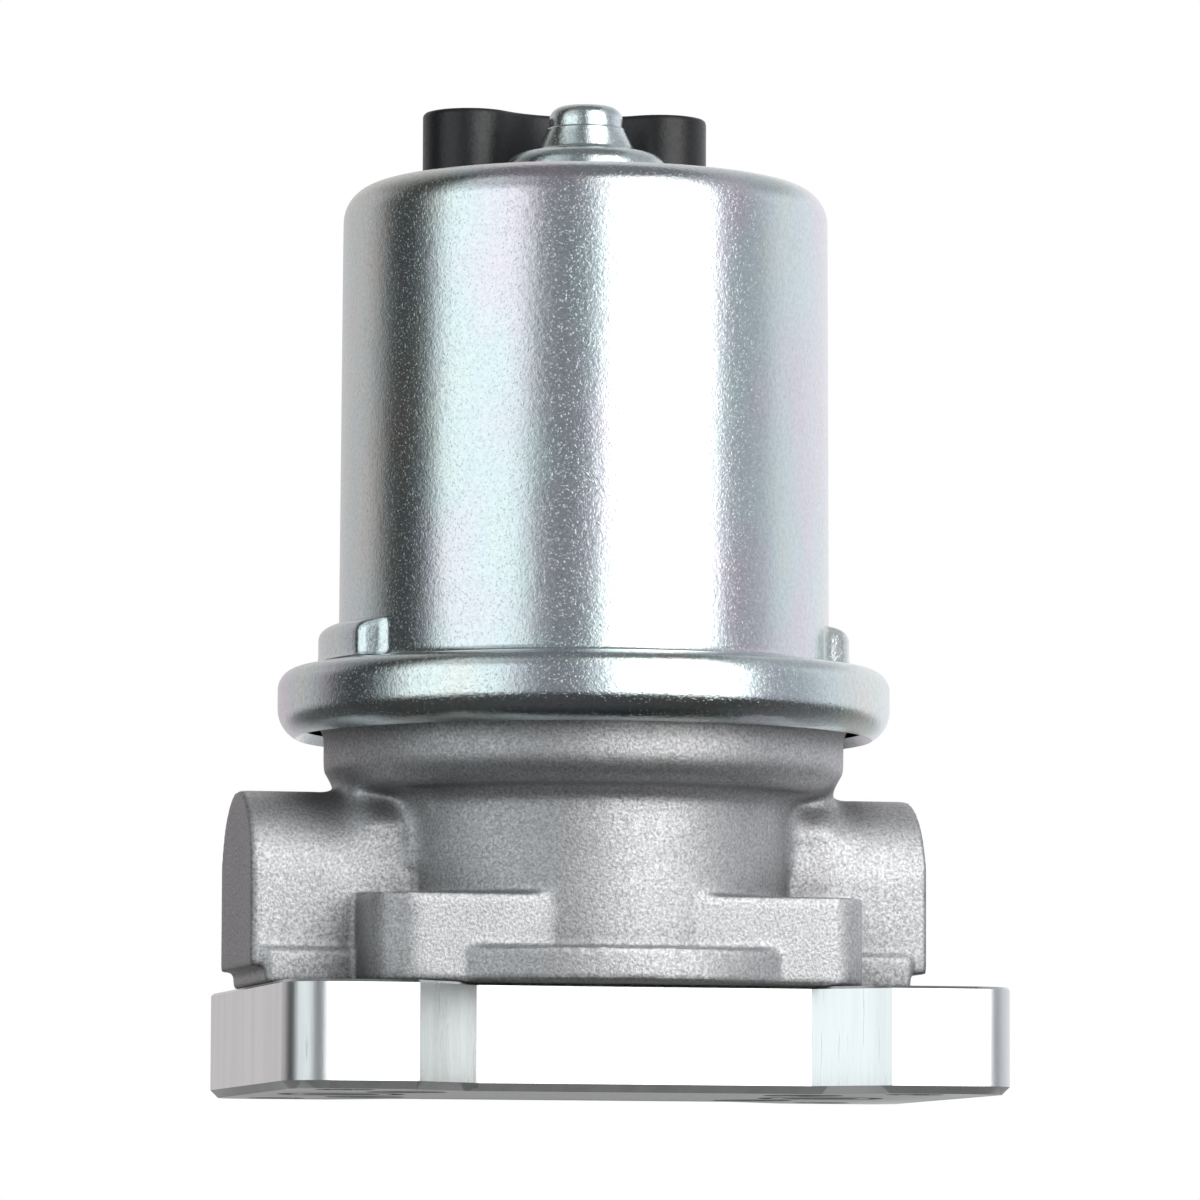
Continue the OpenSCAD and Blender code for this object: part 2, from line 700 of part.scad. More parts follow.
module armature_core() color("dimgray")
  translate([0, 0, core_z]) linear_extrude(core_top - core_z) core_outline();

module core_insulators() color("seagreen") {
  translate([0, 0, core_z - insulator_t]) linear_extrude(insulator_t) core_outline();
  translate([0, 0, core_top]) linear_extrude(insulator_t) core_outline();
}

// The copper that leaves the slots at one end of the core
module end_turns() {
  low_r = 9.2;
  high_r = core_r - 1.2;
  edge = 1.6;
  rotate_extrude() polygon(concat(
    [[low_r, 0], [high_r, 0]],
    arc(high_r - edge, end_turn_h - insulator_t - edge, edge, 0, 90, 5),
    arc(low_r + edge, end_turn_h - insulator_t - edge, edge, 90, 180, 5)
  ));
}

module armature_winding() color("darkorange") {
  gap = 0.25;
  lean = tan(180 / slots);
  side = tooth_half / cos(180 / slots) + gap;
  low = 9.4;
  high = core_r - tooth_head_t - gap;
  translate([0, 0, core_top + insulator_t]) end_turns();
  translate([0, 0, core_z - insulator_t]) mirror([0, 0, 1]) end_turns();
  for (i = [0 : slots - 1]) rotate(360 * i / slots)
    translate([0, 0, core_z - insulator_t - 0.5]) linear_extrude(core_top - core_z + insulator_t * 2 + 1)
      polygon([
        [low, low * lean - side], [high, high * lean - side],
        [high, side - high * lean], [low, side - low * lean]
      ]);
}

module commutator_hub() color("saddlebrown") difference() {
  union() {
    translate([0, 0, core_top + insulator_t]) cylinder(r = 7.5, h = comm_z - core_top - insulator_t);
    translate([0, 0, comm_z - hub_disc_t]) cylinder(r = comm_r, h = hub_disc_t);
    translate([0, 0, comm_z]) cylinder(r = comm_in_r - 0.6, h = comm_t);
    translate([0, 0, comm_z]) cylinder(r = 4.8, h = collar_top - comm_z);
  }
  translate([0, 0, core_top]) cylinder(r = shaft_r + fit_gap, h = collar_top - core_top + over);
}

module commutator_bars() color("chocolate") {
  slit = 3;
  for (i = [0 : slots - 1]) translate([0, 0, comm_z])
    sector(comm_in_r, comm_r, comm_t, (360 * i + slit * 4) / slots, (360 * (i + 1) - slit * 4) / slots);
}

// Profile of the can from the nub out to the lip, and back along the inside
nub_inner_r = nub_r - can_wall + 0.4;
can_outside = concat(
  [[0, nub_top]],
  arc(nub_r - nub_edge_r, nub_top - nub_edge_r, nub_edge_r, 90, 0, 8),
  [[nub_r, can_top + dome_h + 2.8], [dome_top_r, can_top + dome_h],
   [dome_mid_r, can_top + dome_h - 0.4], [dome_r - 0.9, can_top + dome_h - 1.2], [dome_r, can_top]],
  arc(can_top_r - can_edge_r, can_top - can_edge_r, can_edge_r, 90, 0),
  arc(can_r + shoulder_fillet_r, shoulder_z + shoulder_fillet_r, shoulder_fillet_r, 180, 270, 6),
  arc(rim_r - rim_bend_r, rim_fillet_z, rim_bend_r, 90, 0, 8),
  arc(rim_r - rim_curl_r, rim_curl_z, rim_curl_r, 0, -curl_end)
);
can_inside = concat(
  arc(rim_r - rim_curl_r, rim_curl_z, rim_curl_r - can_wall, -curl_end, 0),
  arc(rim_r - rim_bend_r, rim_fillet_z, rim_bend_r - can_wall, 0, 90, 6),
  [[can_r - can_wall, flange_top], [can_inner_r, can_top - can_edge_r]],
  arc(can_top_r - can_edge_r, can_top - can_edge_r, can_edge_r - can_wall, 0, 90),
  [[dome_r - can_wall, roof_z], [dome_r - can_wall - 0.9, roof_z + dome_low_h],
   [dome_mid_r - 0.6, roof_z + dome_h - 0.3], [dome_top_r - 0.5, roof_z + dome_h + 0.1],
   [nub_inner_r, can_top + dome_h + 1.6], [nub_inner_r, nub_top - can_wall], [0, nub_top - can_wall]]
);

// The stop bumps pressed out of the can on both sides
module bumps() {
  ramp = 7;
  foot = can_r - can_wall / 2;
  half = bump_angle / 2;
  plan = concat([[foot * cos(half + ramp), -foot * sin(half + ramp)]],
    arc(0, 0, bump_r, -half, half), [[foot * cos(half + ramp), foot * sin(half + ramp)]]);
  for (side = [0, 1]) mirror([side, 0, 0]) intersection() {
    translate([0, 0, shoulder_z - can_wall / 2]) linear_extrude(bump_h + can_wall / 2) polygon(plan);
    rotate_extrude() polygon(concat(
      [[foot, shoulder_z - can_wall], [bump_r, shoulder_z - can_wall]],
      arc(bump_r - 1.6, shoulder_z + bump_h - 1.6, 1.6, 0, 90, 6), [[foot, shoulder_z + bump_h]]
    ));
  }
}

module motor_can() color("lightsteelblue") difference() {
  union() {
    rotate_extrude() polygon(concat(can_outside, can_inside));
    bumps();
  }
  for (x = [-1, 1]) translate([x * lobe_x, lobe_y, roof_z - over])
    cylinder(r = spigot_pin_r + 0.2, h = can_wall + over * 2);
}

module can_o_ring() color("dimgray")
  translate([0, 0, flange_top - groove_d]) squeezed_ring(can_ring_r);

module magnet(a) {
  translate([0, 0, magnet_z])
    sector(magnet_in_r, magnet_out_r, magnet_top - magnet_z, a - magnet_angle / 2, a + magnet_angle / 2);
}
module magnet_left() color("darkslategray") magnet(180);
module magnet_right() color("darkslategray") magnet(0);

// A bent strip that pushes the edges of the two magnets apart
module magnet_clips() color("silver") for (a = [90, 270]) translate([0, 0, magnet_z]) {
  free = (180 - magnet_angle) / 2;
  strip = 0.5;
  sector(magnet_out_r - strip, magnet_out_r, magnet_top - magnet_z, a - free + 1.5, a + free - 1.5);
  for (e = [-1, 1]) rotate([0, 0, a + e * (free - 2.2)])
    translate([magnet_out_r - 4, -strip / 2, 0]) cube([4 - strip / 2, strip, magnet_top - magnet_z]);
}

module at_brushes() {
  for (x = [-1, 1]) translate([x * brush_x, 0, 0]) children();
}

tube_a = brush_a_size + (run_gap + tube_wall) * 2;
tube_b = brush_b_size + (run_gap + tube_wall) * 2;

module brush_card() color("darkkhaki") {
  difference() {
    translate([0, 0, card_z]) cylinder(r = can_inner_r - inner_gap, h = card_t);
    translate([0, 0, card_z - over]) cylinder(r = card_hole_r, h = card_t + over * 2);
    at_brushes() translate([0, 0, card_z + card_t / 2])
      cube([tube_a + fit_gap * 2, tube_b + fit_gap * 2, card_t + over * 2], center = true);
  }
  for (a = [60, 120, 240, 300]) rotate([0, 0, a])
    translate([post_x, 0, card_z]) cylinder(r = post_r, h = roof_z - card_z);
}

module brush_tubes() color("goldenrod") at_brushes() {
  difference() {
    translate([-tube_a / 2, -tube_b / 2, tube_z]) cube([tube_a, tube_b, tube_top - tube_z]);
    translate([0, 0, (tube_z + tube_top) / 2])
      cube([tube_a - tube_wall * 2, tube_b - tube_wall * 2, tube_top - tube_z + over * 2], center = true);
  }
}

// Flat straps that close the brush tubes and run to the terminal pins
module terminal_straps() color("orange") for (side = [0, 1]) mirror([side, 0, 0])
  translate([0, 0, tube_top]) difference() {
    union() {
      translate([brush_x - tube_a / 2, -tube_b / 2, 0]) cube([tube_a, tube_b, strap_t]);
      translate([lobe_x - 1.5, 0, 0]) cube([3, lobe_y, strap_t]);
      translate([lobe_x, lobe_y, 0]) cylinder(r = 2, h = strap_t);
    }
    translate([lobe_x, lobe_y, -over]) cylinder(r = pin_r + fit_gap, h = strap_t + over * 2);
  }

module brush(x) {
  translate([x - brush_a_size / 2, -brush_b_size / 2, brush_z]) cube([brush_a_size, brush_b_size, brush_l]);
}
module brush_left() color("black") brush(-brush_x);
module brush_right() color("black") brush(brush_x);
module brush_spring_left() color("silver")
  translate([-brush_x, 0, 0]) coil(1.7, brush_top, tube_top);
module brush_spring_right() color("silver")
  translate([brush_x, 0, 0]) coil(1.7, brush_top, tube_top);
module brush_lead(x) {
  translate([x, 0, brush_top]) cylinder(r = 0.4, h = tube_top - brush_top);
}
module brush_lead_left() color("orangered") brush_lead(-brush_x);
module brush_lead_right() color("orangered") brush_lead(brush_x);

module upper_bearing() color("peru") translate([0, 0, bearing_z]) difference() {
  sphere(ball_r);
  for (side = [0, 1]) mirror([0, 0, side])
    translate([0, 0, ball_w / 2]) cylinder(r = ball_r + over, h = ball_r);
  translate([0, 0, -ball_r]) cylinder(r = shaft_r + run_gap, h = ball_r * 2);
}

// A dished spring ring between the roof and the ball
module bearing_retainer() color("silver") {
  hold_z = bearing_z - hold_low;
  hold_r = sqrt(ball_r * ball_r - hold_low * hold_low) + 0.1;
  out_r = brush_x - tube_a / 2 - 0.4;
  rotate_extrude() polygon([
    [hold_r, hold_z], [ball_r + 1, roof_z - 0.4], [out_r, roof_z - 0.4], [out_r, roof_z],
    [ball_r + 0.8, roof_z], [hold_r + 0.2, hold_z + 0.5]
  ]);
}

module oil_wick() color("wheat") translate([0, 0, bearing_z + 0.1])
  ring(dome_r - can_wall - 0.9, ball_r + 0.1, wick_t);

// Outline of the connector: two round lobes joined by a web with hollow sides
web_r = (lobe_x * lobe_x + web_half * web_half - lobe_r * lobe_r) / (lobe_r - web_half) / 2;
web_angle = atan2(web_half + web_r, lobe_x);
connector_points = concat(
  arc(lobe_x, 0, lobe_r, web_angle - 180, 180 - web_angle, 26),
  arc(0, web_half + web_r, web_r, -web_angle, web_angle - 180, 14),
  arc(-lobe_x, 0, lobe_r, web_angle, 360 - web_angle, 26),
  arc(0, -web_half - web_r, web_r, 180 - web_angle, web_angle, 14)
);

module connector_housing() color("darkslategray") translate([0, lobe_y, 0]) difference() {
  union() {
    translate([0, 0, can_top]) linear_extrude(connector_h) polygon(connector_points);
    for (x = [-1, 1]) translate([x * lobe_x, 0, spigot_low])
      cylinder(r = spigot_pin_r, h = can_top - spigot_low + over);
  }
  for (x = [-1, 1]) translate([x * lobe_x, 0, 0]) {
    translate([0, 0, socket_z]) cylinder(r = socket_r, h = socket_d + over);
    translate([0, 0, spigot_low - over]) cylinder(r = pin_r + fit_gap, h = socket_z - spigot_low + over * 2);
    translate([0, 0, can_top - over]) ring(seal_recess_r, spigot_pin_r, seal_recess_h + over);
  }
}

module connector_seals() color("orangered") for (x = [-1, 1])
  translate([x * lobe_x, lobe_y, can_top])
    ring(seal_recess_r - ring_squeeze, spigot_pin_r + ring_squeeze, seal_recess_h - ring_squeeze);

module terminal_pins() color("gold") for (x = [-1, 1])
  translate([x * lobe_x, lobe_y, tube_top - 0.3]) cylinder(r = pin_r, h = socket_z + pin_l - tube_top + 0.3);

module at_check() {
  translate([port_x, 0, 0]) children();
}

module check_seat() color("goldenrod") at_check()
  translate([0, 0, check_top - check_seat_t]) ring(check_r - fit_gap, check_hole_r, check_seat_t);

module check_poppet() color("dimgray") at_check() {
  translate([0, 0, check_disc_z]) cylinder(r = check_r - 0.7, h = check_disc_t);
  translate([0, 0, body_z + 0.4]) cylinder(r = stem_r, h = check_disc_z - body_z - 0.4 + over / 2);
}

module check_spring() color("silver") at_check() coil(2.6, body_z + retainer_t, check_disc_z);

module check_retainer() color("goldenrod") at_check() translate([0, 0, body_z]) difference() {
  union() {
    ring(check_r - fit_gap, check_r - 1.2, retainer_t);
    for (a = [0, 120, 240]) rotate([0, 0, a]) translate([stem_r + 0.5, -0.7, 0])
      cube([check_r - stem_r - 1.2, 1.4, retainer_t]);
    cylinder(r = stem_r + 0.9, h = retainer_t);
  }
  translate([0, 0, -over]) cylinder(r = stem_r + run_gap, h = retainer_t + over * 2);
}

module at_relief() {
  translate([relief_xy, relief_xy, 0]) children();
}

piston_z = relief_z + 0.05;
piston_top = piston_z + relief_piston_l;
plug_z = floor_z - relief_plug_t;

module relief_piston() color("lightgray") at_relief() {
  translate([0, 0, piston_z]) cylinder(r = relief_r - run_gap, h = relief_piston_l);
  translate([0, 0, piston_z - 0.9]) cylinder(r1 = 0.7, r2 = relief_seat_r - 0.15, h = 0.9);
}

module relief_spring() color("silver") at_relief() coil(1.8, piston_top, plug_z);

module relief_plug() color("goldenrod") at_relief() difference() {
  translate([0, 0, plug_z]) cylinder(r = relief_r - fit_gap, h = relief_plug_t);
  translate([0, 0, floor_z - 1.2]) cylinder(d = 2.5 / cos(30), h = 1.2 + over, $fn = 6);
}

adapter_plate();
port_o_rings();
joint_o_rings();
plate_screws();
pump_body();
pump_cover();
outer_rotor();
inner_rotor();
drive_pin();
lower_bush();
seal_case();
seal_lip();
motor_shaft();
thrust_washers();
armature_core();
core_insulators();
armature_winding();
commutator_hub();
commutator_bars();
motor_can();
can_o_ring();
magnet_left();
magnet_right();
magnet_clips();
brush_card();
brush_tubes();
terminal_straps();
brush_left();
brush_right();
brush_spring_left();
brush_spring_right();
brush_lead_left();
brush_lead_right();
upper_bearing();
bearing_retainer();
oil_wick();
connector_housing();
connector_seals();
terminal_pins();
check_seat();
check_poppet();
check_spring();
check_retainer();
relief_piston();
relief_spring();
relief_plug();
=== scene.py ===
# Electric fuel pump: the looks of a motor can, its casting, its connector and its plate.
# Metres, Z up along the motor, origin at the underside of the plate. The plans of pieces and finishes
# give their sizes in millimetres, those of the studio in metres.
import bmesh
import bpy
import json
import math
from mathutils import Matrix, Quaternion, Vector

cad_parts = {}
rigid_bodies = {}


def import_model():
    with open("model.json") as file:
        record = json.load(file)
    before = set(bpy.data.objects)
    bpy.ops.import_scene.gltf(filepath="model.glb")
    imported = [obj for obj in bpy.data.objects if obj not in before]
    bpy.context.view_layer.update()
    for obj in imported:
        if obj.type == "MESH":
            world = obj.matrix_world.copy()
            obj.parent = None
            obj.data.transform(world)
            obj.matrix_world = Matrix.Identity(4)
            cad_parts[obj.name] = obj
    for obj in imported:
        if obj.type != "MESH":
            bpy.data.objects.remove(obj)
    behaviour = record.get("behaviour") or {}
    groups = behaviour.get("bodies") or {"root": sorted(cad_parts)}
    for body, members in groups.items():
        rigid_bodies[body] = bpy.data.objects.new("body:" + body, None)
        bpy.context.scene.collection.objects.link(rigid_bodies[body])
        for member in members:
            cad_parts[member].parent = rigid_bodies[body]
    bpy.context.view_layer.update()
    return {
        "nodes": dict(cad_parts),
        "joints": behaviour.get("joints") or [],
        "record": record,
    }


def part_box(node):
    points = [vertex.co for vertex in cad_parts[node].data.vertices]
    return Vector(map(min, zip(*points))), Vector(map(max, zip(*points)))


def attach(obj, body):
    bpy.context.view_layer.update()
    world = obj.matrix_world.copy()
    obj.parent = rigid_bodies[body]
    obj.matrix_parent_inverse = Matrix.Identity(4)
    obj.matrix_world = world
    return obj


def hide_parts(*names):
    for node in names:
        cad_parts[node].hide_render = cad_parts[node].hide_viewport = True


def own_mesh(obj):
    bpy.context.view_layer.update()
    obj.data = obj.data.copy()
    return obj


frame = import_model()
nodes = frame["nodes"]
scene = bpy.context.scene
scene.view_settings.view_transform = "Standard"
mm = 0.001
mergeGap = 1e-6  # points nearer than this are one point
print("stage: frame loaded,", len(nodes), "nodes")


# Modelling helpers

def pickOnly(*pieces):
    if bpy.context.object and bpy.context.object.mode != "OBJECT":
        bpy.ops.object.mode_set(mode="OBJECT")
    bpy.ops.object.select_all(action="DESELECT")
    for piece in pieces:
        piece.select_set(True)
    if pieces:
        bpy.context.view_layer.objects.active = pieces[0]


def startEdit(piece):
    pickOnly(piece)
    bpy.ops.object.mode_set(mode="EDIT")
    bpy.ops.mesh.select_all(action="DESELECT")


def endEdit():
    bpy.ops.object.mode_set(mode="OBJECT")


def pickVerts(piece, test):
    bpy.ops.mesh.select_mode(type="VERT")
    bpy.ops.mesh.select_all(action="DESELECT")
    shell = bmesh.from_edit_mesh(piece.data)
    for vert in shell.verts:
        vert.select = test(vert.co)
    shell.select_flush(True)
    bmesh.update_edit_mesh(piece.data)


def pickEdges(piece, test):
    bpy.ops.mesh.select_mode(type="EDGE")
    bpy.ops.mesh.select_all(action="DESELECT")
    shell = bmesh.from_edit_mesh(piece.data)
    for edge in shell.edges:
        edge.select = test(edge)
    bmesh.update_edit_mesh(piece.data)


def cleanShell(piece):
    startEdit(piece)
    bpy.ops.mesh.select_all(action="SELECT")
    bpy.ops.mesh.remove_doubles(threshold=mergeGap)
    bpy.ops.mesh.normals_make_consistent(inside=False)
    endEdit()


def applyModifier(piece, kind, **values):
    pickOnly(piece)
    bpy.ops.object.modifier_add(type=kind)
    modifier = piece.modifiers[-1]
    for key, value in values.items():
        setattr(modifier, key, value)
    bpy.ops.object.modifier_apply(modifier=modifier.name)


def copyOfNode(node, name):
    source = nodes[node]
    copy = source.copy()
    copy.data = source.data.copy()
    copy.name = copy.data.name = name
    bpy.context.collection.objects.link(copy)
    copy.parent = None
    copy.matrix_world = Matrix.Identity(4)
    cleanShell(copy)
    return copy


def finishPiece(piece, name, body, slot, node, angle):
    pickOnly(piece)
    bpy.ops.object.transform_apply(location=True, rotation=True, scale=True)
    piece.name = piece.data.name = name
    piece.data.materials.clear()
    piece.data.materials.append(finishes[slot])
    bpy.ops.object.shade_smooth_by_angle(angle=math.radians(angle))
    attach(piece, body)
    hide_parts(node)


# A copy with its own mesh, moved by a shift in millimetres
def copyMoved(piece, shift):
    copy = piece.copy()
    copy.data = piece.data.copy()
    bpy.context.collection.objects.link(copy)
    pickOnly(copy)
    bpy.ops.transform.translate(value=Vector(shift) * mm)
    bpy.ops.object.transform_apply(location=True, rotation=False, scale=False)
    return copy


def arcPoints(centreR, centreZ, radius, startAngle, endAngle, count):
    angles = [math.radians(startAngle + (endAngle - startAngle) * i / count) for i in range(count + 1)]
    return [(centreR + radius * math.cos(a), centreZ + radius * math.sin(a)) for a in angles]


# A chain of edges drawn from point to point, left open for editing with all of it selected
def drawOutline(name, points):
    bpy.ops.mesh.primitive_plane_add(size=mm, location=(0, 0, 0))
    piece = bpy.context.object
    piece.name = name
    startEdit(piece)
    bpy.ops.mesh.select_all(action="SELECT")
    bpy.ops.mesh.merge(type="CENTER")
    bpy.ops.mesh.select_all(action="SELECT")
    here = Vector((0, 0, 0))
    for step, there in enumerate(points):
        if step == 0:
            bpy.ops.transform.translate(value=there - here)
        else:
            bpy.ops.mesh.extrude_vertices_move(TRANSFORM_OT_translate={"value": there - here})
        here = there
    bpy.ops.mesh.select_all(action="SELECT")
    return piece


# An outline of (radius, height) points in millimetres, spun about Z
def spinOutline(name, outline, steps):
    piece = drawOutline(name, [Vector((radius * mm, 0, height * mm)) for radius, height in outline])
    bpy.ops.mesh.spin(steps=steps, angle=math.tau, center=(0, 0, 0), axis=(0, 0, 1))
    endEdit()
    cleanShell(piece)
    return piece


# Material helpers

def addNode(tree, kind, **values):
    node = tree.nodes.new(kind)
    for key, value in values.items():
        setattr(node, key, value)
    return node


def newFinish(name, sockets):
    material = bpy.data.materials.new(name)
    material.use_nodes = True
    shader = material.node_tree.nodes["Principled BSDF"]
    for socket, value in sockets.items():
        shader.inputs[socket].default_value = value
    return material, material.node_tree, shader


def objectPlace(tree, stretch=(1, 1, 1)):
    coordinate = addNode(tree, "ShaderNodeTexCoord")
    mapping = addNode(tree, "ShaderNodeMapping")
    mapping.inputs["Scale"].default_value = stretch
    tree.links.new(coordinate.outputs["Object"], mapping.inputs["Vector"])
    return mapping.outputs["Vector"]


# A noise whose lumps are size millimetres across
def noiseField(tree, size, stretch=(1, 1, 1), detail=3, roughness=0.55):
    noise = addNode(tree, "ShaderNodeTexNoise")
    noise.inputs["Scale"].default_value = 1 / (size * mm)
    noise.inputs["Detail"].default_value = detail
    noise.inputs["Roughness"].default_value = roughness
    tree.links.new(objectPlace(tree, stretch), noise.inputs["Vector"])
    return noise.outputs["Fac"]


def colourRamp(tree, field, stops):
    ramp = addNode(tree, "ShaderNodeValToRGB")
    elements = ramp.color_ramp.elements
    while len(elements) < len(stops):
        elements.new(0.5)
    for element, (position, colour) in zip(elements, stops):
        element.position = position
        element.color = (*colour, 1)
    tree.links.new(field, ramp.inputs["Fac"])
    return ramp.outputs["Color"]


def stretchRange(tree, field, low, high, toLow, toHigh, smooth=False):
    span = addNode(tree, "ShaderNodeMapRange")
    if smooth:
        span.interpolation_type = "SMOOTHSTEP"
    for socket, value in zip(("From Min", "From Max", "To Min", "To Max"), (low, high, toLow, toHigh)):
        span.inputs[socket].default_value = value
    tree.links.new(field, span.inputs["Value"])
    return span.outputs["Result"]


def mixColours(tree, amount, first, second, blend="MIX"):
    mix = addNode(tree, "ShaderNodeMix", data_type="RGBA", blend_type=blend)
    for socket, value in ((0, amount), (6, first), (7, second)):
        if isinstance(value, (int, float)):
            mix.inputs[socket].default_value = value
        elif isinstance(value, tuple):
            mix.inputs[socket].default_value = (*value, 1)
        else:
            tree.links.new(value, mix.inputs[socket])
    return mix.outputs[2]


def mathNode(tree, operation, *values):
    node = addNode(tree, "ShaderNodeMath", operation=operation)
    for socket, value in zip(node.inputs, values):
        if isinstance(value, (int, float)):
            socket.default_value = value
        else:
            tree.links.new(value, socket)
    return node.outputs["Value"]


# A bump whose full height is depth millimetres, on top of another one if given
def bumpOn(tree, field, depth, under=None):
    bump = addNode(tree, "ShaderNodeBump")
    bump.inputs["Strength"].default_value = 1
    bump.inputs["Distance"].default_value = depth * mm
    tree.links.new(field, bump.inputs["Height"])
    if under:
        tree.links.new(under, bump.inputs["Normal"])
    return bump.outputs["Normal"]


# Finishes

metal = {"Metallic": 1.0}
plastic = {"Metallic": 0.0, "IOR": 1.5}
noiseSpan = (0.3, 0.7)  # what a noise field mostly keeps within

# Bright zinc on deep-drawn steel: orange peel, fine grain, glinting pits and a faint rainbow
zincPlan = dict(
    cloudSize=16, cloudStretch=(1, 1, 0.55),
    rainbow=[(0.32, (0.77, 0.73, 0.79)), (0.44, (0.73, 0.77, 0.80)), (0.52, (0.70, 0.79, 0.80)),
             (0.60, (0.73, 0.80, 0.77)), (0.70, (0.77, 0.78, 0.74))],
    patchSize=7, gloss=(0.14, 0.19), peelSize=2.2, peelDepth=0.022,
    grainSize=0.5, grainDepth=0.030, speckSpan=(0.32, 0.6), specks=(0.88, 1.0),
    pitSize=0.27, pitSpan=(0.60, 0.72), pitDulling=0.05, pitDepth=0.012)


def zincPlate():
    p = zincPlan
    material, tree, shader = newFinish("ZincPlate", metal)
    clouds = noiseField(tree, p["cloudSize"], stretch=p["cloudStretch"], detail=2)
    tint = colourRamp(tree, clouds, p["rainbow"])
    fine = noiseField(tree, p["grainSize"], detail=4, roughness=0.65)
    specks = stretchRange(tree, fine, *p["speckSpan"], *p["specks"])
    tree.links.new(mixColours(tree, 1.0, tint, specks, "MULTIPLY"), shader.inputs["Base Color"])
    patches = noiseField(tree, p["patchSize"], detail=3)
    gloss = stretchRange(tree, patches, *noiseSpan, *p["gloss"])
    pits = stretchRange(tree, noiseField(tree, p["pitSize"], detail=1), *p["pitSpan"], 0, 1)
    tree.links.new(mathNode(tree, "MULTIPLY_ADD", pits, p["pitDulling"], gloss), shader.inputs["Roughness"])
    peel = bumpOn(tree, noiseField(tree, p["peelSize"], detail=2), p["peelDepth"])
    grain = bumpOn(tree, fine, p["grainDepth"], under=peel)
    tree.links.new(bumpOn(tree, pits, p["pitDepth"], under=grain), shader.inputs["Normal"])
    return material


# Shot-blasted aluminium: a fine, even grain that sparkles a little, with painted shade in its corners and on
# its boss ends
castPlan = dict(
    cloudSize=9, colours=((0.57, 0.57, 0.575), (0.63, 0.63, 0.635)),
    grainSize=0.34, grainDepth=0.06, speckle=(0.66, 1.22), gloss=(0.58, 0.48), waveSize=2.5, waveDepth=0.03,
    # The keys from dustReach on paint shade into the colour: in hemmed-in corners and on the flat boss ends
    dustReach=14, dustSpan=(0.28, 0.80), dustShade=0.30, endShade=0.72, endFrom=0.6, endTo=0.2)


# Painted shade: 1 on open faces, darker in colour where they are hemmed in
def paintedCornerShade(tree):
    p = castPlan
    openness = addNode(tree, "ShaderNodeAmbientOcclusion", samples=12)
    openness.inputs["Distance"].default_value = p["dustReach"] * mm
    return stretchRange(tree, openness.outputs["AO"], *p["dustSpan"], p["dustShade"], 1.0)


# Painted shade on the flat ends of the two bosses: their colour darker than the blasted sides
def paintedEndShade(tree):
    p = castPlan
    low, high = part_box("pump_body")
    middle, half = (low[0] + high[0]) / 2, (high[0] - low[0]) / 2
    place = addNode(tree, "ShaderNodeSeparateXYZ")
    tree.links.new(objectPlace(tree), place.inputs["Vector"])
    outwards = mathNode(tree, "ABSOLUTE", mathNode(tree, "SUBTRACT", place.outputs["X"], middle))
    return stretchRange(tree, outwards, half - p["endFrom"] * mm, half - p["endTo"] * mm, 1.0, p["endShade"])


def castAluminium():
    p = castPlan
    material, tree, shader = newFinish("CastAluminium", metal)
    grain = noiseField(tree, p["grainSize"], detail=2, roughness=0.7)
    clouds = noiseField(tree, p["cloudSize"], detail=3)
    base = colourRamp(tree, clouds, list(zip(noiseSpan, p["colours"])))
    speckle = stretchRange(tree, grain, *noiseSpan, *p["speckle"])
    blasted = mixColours(tree, 1.0, base, speckle, "MULTIPLY")
    # Painted shade in hemmed-in corners, then on the flat boss ends
    shaded = mixColours(tree, 1.0, blasted, paintedCornerShade(tree), "MULTIPLY")
    tree.links.new(mixColours(tree, 1.0, shaded, paintedEndShade(tree), "MULTIPLY"), shader.inputs["Base Color"])
    tree.links.new(stretchRange(tree, grain, *noiseSpan, *p["gloss"]), shader.inputs["Roughness"])
    waves = bumpOn(tree, noiseField(tree, p["waveSize"], detail=2), p["waveDepth"])
    tree.links.new(bumpOn(tree, grain, p["grainDepth"], under=waves), shader.inputs["Normal"])
    return material


# Sawn and milled bar: upright tool marks, small nicks, filed corners, and one pair of slants that is rougher
# and has painted shade in its colour.
# Its faces are given as the two ends along X and the depth from the middle beyond which they lie.
milledPlan = dict(
    waveSize=3.5, waveStretch=(1, 1, 0.08), colours=[(0.35, (0.69, 0.71, 0.705)), (0.6, (0.77, 0.79, 0.785))],
    markSize=0.5, markStretch=(1, 1, 0.03), markSpan=(0.27, 0.37), markShade=0.58, markDepth=0.012,
    nickSize=1.3, nickStretch=(1, 1, 0.6), nickSpan=(0.25, 0.30), nickShade=0.28, nickDepth=0.01,
    gloss=(0.14, 0.20), slants=(-25.1, -16.7, 20.8), slantShade=(0.70, 0.70, 0.70), slantDulling=0.08,
    corners=((-40.1, -35.0, 23.2), (40.2, 45.3, 23.2)), cornerDulling=0.13)


def faceMask(tree, lowX, highX, depth):
    place = addNode(tree, "ShaderNodeSeparateXYZ")
    tree.links.new(objectPlace(tree), place.inputs["Vector"])
    across = mathNode(tree, "COMPARE", place.outputs["X"], (lowX + highX) / 2 * mm, (highX - lowX) / 2 * mm)
    outside = mathNode(tree, "GREATER_THAN", mathNode(tree, "ABSOLUTE", place.outputs["Y"]), depth * mm)
    return mathNode(tree, "MULTIPLY", across, outside)


